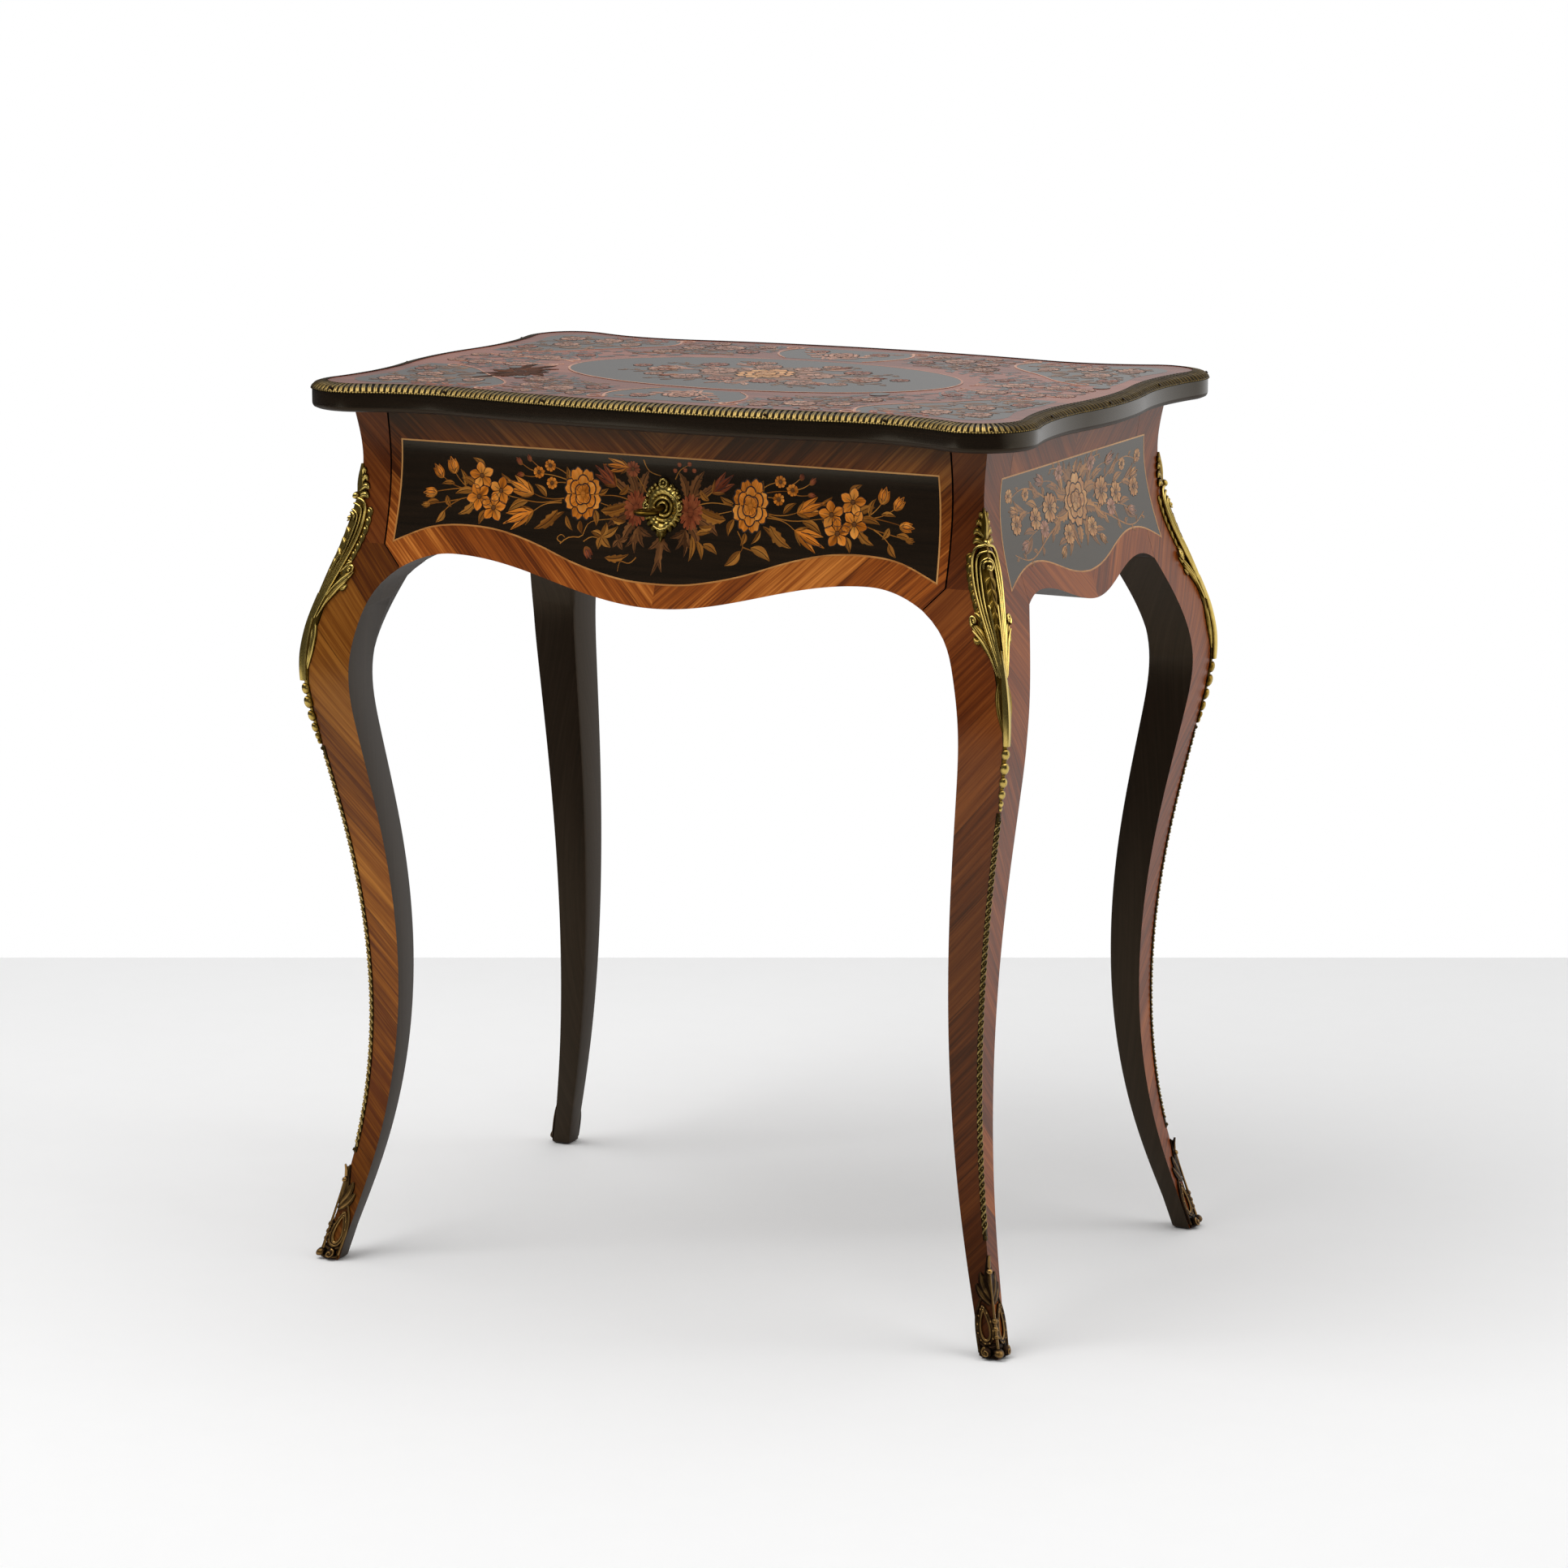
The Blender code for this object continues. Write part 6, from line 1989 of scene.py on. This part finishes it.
@dataclass
class Lock:
    """What the lock shows: the gilt escutcheon and the key, in millimetres."""

    hole: float = 3.2
    half_width: float = 17.0
    half_height: float = 20.5
    border_leaves: int = 22
    key_radius: float = 2.2
    collar_radius: float = 3.0
    key_out: float = 40.0
    bow_tone: float = 0.62

    def build(self) -> None:
        """Build the escutcheon and the key."""
        self.escutcheon()
        self.key()

    def escutcheon(self) -> None:
        """Model the escutcheon: a gadrooned swirl round the keyhole, a leafy border, a crest and a drop."""
        shape = Shape("escutcheon_chased")
        turn, r = np.linspace(0, 2 * math.pi, 144, endpoint=False), np.linspace(0, 1, 26)[:, None]
        cos, sin, wave = np.cos(turn), np.sin(turn), np.cos(self.border_leaves * turn)
        edge = 1 / np.hypot(cos / self.half_width, sin / self.half_height)
        edge = edge * (1 + 0.03 * wave) + 3.4 * np.exp(-(((turn - 1.5 * math.pi) / 0.2) ** 2))
        radius = self.hole + (edge - self.hole) * r
        share = radius / edge
        # A coil round the keyhole, a plain swelling rim, fuller on one side, and a border of small leaves.
        coil = np.cos(2 * math.pi * (radius - self.hole) / 3.9 - turn) * step(0.56 - share, -0.05, 0.06)
        rim = np.exp(-(((share - 0.7) / 0.13) ** 2)) * (1 + 0.3 * cos)
        leaves = wave * step(share, 0.83, 0.9)
        height = 1.5 - 0.7 * share**2 + 0.7 * coil + 1.3 * rim + 0.4 * leaves
        tone = 0.44 + 0.42 * coil + 0.52 * rim + 0.4 * leaves
        s, z = radius * cos, KEY_AXIS + 0.5 * step(share, 0.2, 1.0) + radius * sin

        def place(s: np.ndarray, z: np.ndarray, h: np.ndarray) -> np.ndarray:
            """Place points on the drawer's front."""
            return FORM.place(Face.FRONT, s * MM, z * MM, h * MM)

        under = place(s[[0, -1]], z[[0, -1]], np.full((2, 144), 0.35))
        rings = np.concatenate([under[:1], place(s, z, np.maximum(height, 0.8)), under[1:]])
        tones = np.concatenate([0.3 * tone[:1], tone, 0.3 * tone[-1:]])
        shape.tube(rings, GILT, None, tones, loop=True)
        relief = Relief(shape, place, GILT)
        relief.rib(3.1 * circle(20) + [0, 673], 1.0, 2.4, True)
        relief.bead(0, 673, 1.2, 1.6)
        for k in range(1, 6):
            for half in relief.halves():
                s, z = [15.3, 18.5] * ray(104 + 13 * k)
                half.bead(s, 654.5 + z, 1.35, 1.6)
        for half in relief.halves():
            half.rib(spiral((14.2, 654), 3.4, 0.7, 90, -1.2), (1.2, 0.7), 2.2, count=14)
        relief.lobe((0, 637, 0.6, 631, 0, 626.5), (7, 8, 4, 1.5), 2.2, 1.0, 0.3, 1)
        relief.rib((-6.5, 638.5, 0, 636, 6.5, 638.5), (0.8, 1.5, 0.8), 2.4)
        relief.rib((6, 664, 11.5, 660, 13, 651, 9.5, 643), (0.7, 1.3, 1.3, 0.7), 2.4)
        shape.make(Body.DRAWER, Slot.GILT, ["escutcheon"], sharp=50)

    def key(self) -> None:
        """Model the key: a round shank with its bit, a collar and a pierced bow that lies flat."""
        shape = Shape("key_chased")
        tip = -float(FORM.out_y(KEY_AXIS * MM)) / MM - self.key_out

        def place(s: np.ndarray, along: np.ndarray, up: Tone) -> np.ndarray:
            """Place points about the key's axis: across, along the table's depth and up."""
            return np.stack(np.broadcast_arrays(s, along, up + KEY_AXIS), axis=-1) * MM

        relief, shank, collar = Relief(shape, place, GILT), self.key_radius, self.collar_radius
        rows = [(-145.7, shank), (-166.0, shank), (tip + 27.0, shank), (tip + 26.0, shank), (tip + 25.0, collar)]
        rows += [(tip + 24.4, collar), (tip + 22.4, collar), (tip + 21.8, shank), (tip + 20.0, 1.9)]
        along, radius = np.array(rows).T[..., None]
        cos, sin = circle(16).T
        shape.tube(place(radius * cos, along, radius * sin), GILT, None, 0.6)
        s, along = np.array([(1.0, -149.4), (7.0, -149.4), (7.0, -146.0), (1.0, -146.0)]).T
        shape.tube(np.stack([place(s, along, up) for up in (-1.5, 1.5)]), GILT, None, 0.4)
        turn = np.linspace(0, 2 * math.pi, 40, endpoint=False)
        bow = 8.4 * np.cos(turn) * (1 + 0.08 * np.cos(4 * turn)), tip + 11.2 + 9.6 * np.sin(turn)
        relief.rib(np.stack(bow, axis=1), 2.1, 0.0, True, tone=self.bow_tone)
        for half in relief.halves():
            half.rib(spiral((3.6, tip + 8.6), 3.6, 1.0, 270, 1.3), (1.6, 1.2), 0.0, tone=self.bow_tone)
            brace = (0.5, tip + 21, 4.6, tip + 17, 2.4, tip + 12, 0, tip + 11)
            half.rib(brace, (1.6, 1.3), 0.0, tone=self.bow_tone)
        relief.rib((0, tip + 20, 0, tip + 10, 0, tip + 3), (2.0, 1.6), 0.0, tone=self.bow_tone)
        shape.make(Body.KEY, Slot.GILT, ["key"], sharp=50)


# ---------------------------------------------------------------- CAD pieces and the studio


def dress_inner_parts() -> None:
    """Give the CAD pieces that stay their finishes."""
    wide = ["front_rail", "drawer_back", "drawer_bottom"]
    deep = [f"{part}_{side}" for part in ("drawer_runner", "drawer_side") for side in ("left", "right")]
    deep += [f"glue_block_{end}_{side}" for end in ("front", "back") for side in ("left", "right")]
    for names, finish in ((wide, OAK_ACROSS), (deep, OAK_DEEP), (["lock_case", "lock_bolt"], STEEL)):
        for name in names:
            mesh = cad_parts[name].data
            mesh.materials.clear()
            mesh.materials.append(finish.material())
    log.info("inner parts: oak and steel")


@dataclass
class Studio:
    """A pale floor before a white backdrop, soft lamps and the camera."""

    lens: float = 117.06
    sensor: float = 36.0
    camera_at: tuple[float, float, float] = (1.8685, -3.7221, 1.2504)
    tilt: float = 78.416
    turn: float = 26.425
    floor_back: float = 1.03
    floor_front: float = 1.5
    floor_side: float = 2.2
    bright_way: tuple[float, float, float] = (0.62, 0.66, 0.42)
    room_level: float = 0.06
    fill_level: float = 0.22

    def build(self) -> None:
        """Build the studio."""
        self.floor()
        self.world()
        self.lamps()
        self.camera()
        bpy.context.scene.view_settings.view_transform = "Standard"
        log.info("studio: floor, backdrop, lamps and camera")

    def floor(self) -> None:
        """Lay the floor, turned to face the camera."""
        (c, s), wide, front, back = ray(self.turn), self.floor_side, -self.floor_front, self.floor_back
        corners = np.array([(-wide, front), (wide, front), (wide, back), (-wide, back)]) @ [[c, s], [-s, c]]
        mesh = bpy.data.meshes.new("floor")
        mesh.from_pydata(level(corners, 0.0).tolist(), [], [(0, 1, 2, 3)])
        mesh.materials.append(PAINT.material())
        floor = link("floor", mesh)

    def world(self) -> None:
        """Hang the white backdrop, dimmer on the camera's left, where the room is."""
        world = bpy.data.worlds.new("studio")
        bpy.context.scene.world = world
        # Rays find the backdrop themselves, so that each kind of ray gets its own level.
        world.cycles.sampling_method = "NONE"
        world.use_nodes = True
        tree = world.node_tree
        path = add(tree, "ShaderNodeLightPath").outputs
        way = add(tree, "ShaderNodeTexCoord").outputs["Generated"]
        # Bright towards the backdrop and the right, dim towards the room in front and on the left.
        side = add(tree, "ShaderNodeVectorMath", {0: way, 1: self.bright_way}, operation="DOT_PRODUCT")
        ends = {"From Min": 0.1, "From Max": 0.75, "To Min": self.room_level, "To Max": 1.0}
        glow = add(tree, "ShaderNodeMapRange", {"Value": side.outputs["Value"]} | ends)
        shiny = add(tree, "ShaderNodeMath", {0: path["Is Glossy Ray"], 1: glow}, operation="MULTIPLY")
        plain = {0: path["Is Camera Ray"], 1: path["Is Transmission Ray"]}
        plain = add(tree, "ShaderNodeMath", plain, operation="MAXIMUM")
        seen = add(tree, "ShaderNodeMath", {0: plain, 1: shiny}, operation="MAXIMUM")
        strength = {0: path["Is Diffuse Ray"], 1: self.fill_level, 2: seen}
        strength = add(tree, "ShaderNodeMath", strength, operation="MULTIPLY_ADD")
        back = tree.nodes["Background"]
        back.inputs["Color"].default_value = (1.0, 1.0, 1.0, 1.0)
        tree.links.new(strength.outputs[0], back.inputs["Strength"])

    def lamps(self) -> None:
        """Hang the soft lamps: two overhead, a weak one beside the camera and one over each side of the floor."""
        for name, at, aim, size, power in (
            ("overhead_lamp", (-1.0, -1.5, 3.2), (0.0, 0.0, 0.4), 2.2, 57.0),
            ("back_lamp", (0.3, 0.4, 3.4), (0.0, 0.0, 0.4), 3.0, 42.0),
            ("front_lamp", (2.6, -3.2, 1.8), (0.0, 0.0, 0.5), 1.6, 12.0),
            ("right_lamp", (3.2, 0.4, 2.6), (2.2, 0.1, 0.0), 2.4, 36.0),
            ("left_lamp", (-3.2, -0.2, 2.4), (-2.2, 0.0, 0.0), 2.0, 16.0),
        ):
            light = bpy.data.lights.new(name, "AREA")
            light.size, light.energy = size, power
            lamp = link(name, light)
            lamp.location = at
            x, y, z = np.subtract(at, aim)
            lamp.rotation_euler = (math.atan2(math.hypot(x, y), z), 0.0, math.atan2(x, -y))

    def camera(self) -> None:
        """Set the camera at the photograph's angle."""
        data = bpy.data.cameras.new("camera")
        data.lens, data.sensor_width = self.lens, self.sensor
        camera = link("camera", data)
        camera.location = self.camera_at
        camera.rotation_euler = (math.radians(self.tilt), 0.0, math.radians(self.turn))
        bpy.context.scene.camera = camera


def main() -> None:
    """Build the table's pieces in order, then the studio."""
    logging.basicConfig(level=logging.INFO, format="%(name)s %(message)s")
    # Two legs take the golden veneer, with painted light and shade of their own.
    golden_legs = {"veneer": GOLDEN_KINGWOOD, "painted_shin_light": 1.2, "painted_knee_light": 0.76, "painted_post_shade": 0.95}
    for back, end in ((-1, "front"), (1, "back")):
        for right, side in ((-1, "left"), (1, "right")):
            seed = 0.3 * (back > 0) + 0.7 * (right > 0)
            Leg(f"leg_{end}_{side}", right, back, seed, **(golden_legs if back == right else {})).build()
            # Painted light: the gilt mounts on the left legs are brightened.
            Corner(end, side, right, back, painted_gilt_light=1.0 if right > 0 else 1.45).build()
    for face, seed in ((Face.LEFT, 0.2), (Face.RIGHT, 0.9)):
        name = f"apron_{face.value}"
        FriezeBoard(f"{name}_board", face, 0.1277, 0.252, FORM.frame_top, seed=seed).build([name])
    # Painted shade and light on the back board: dark under the top, lighter below.
    tones = {"painted_top_shadow": 0.6, "painted_middle_light": 1.2, "painted_low_light": 2.2}
    FriezeBoard("apron_back_board", Face.BACK, 0.2517, 0.150, FORM.frame_top, seed=1.3, **tones).build(["apron_back"])
    drawer = {"body": Body.DRAWER, "gap": 1.5 * MM, "seed": 2.1, "veneer": WARM}
    # Painted shade and light on the drawer's front: darkest under the top, lighter below.
    tones = {"painted_top_shadow": 0.3, "painted_middle_light": 0.84, "painted_low_light": 1.8}
    front = FriezeBoard("drawer_front_board", Face.FRONT, 0.2505, 0.153, 0.7165, **drawer, **tones)
    cut_keyhole(front.build(["drawer_front"]))
    dress_frieze()
    Lock().build()
    Top().build()
    TopMarquetry().build()
    dress_inner_parts()
    Studio().build()


if __name__ == "__main__":
    main()
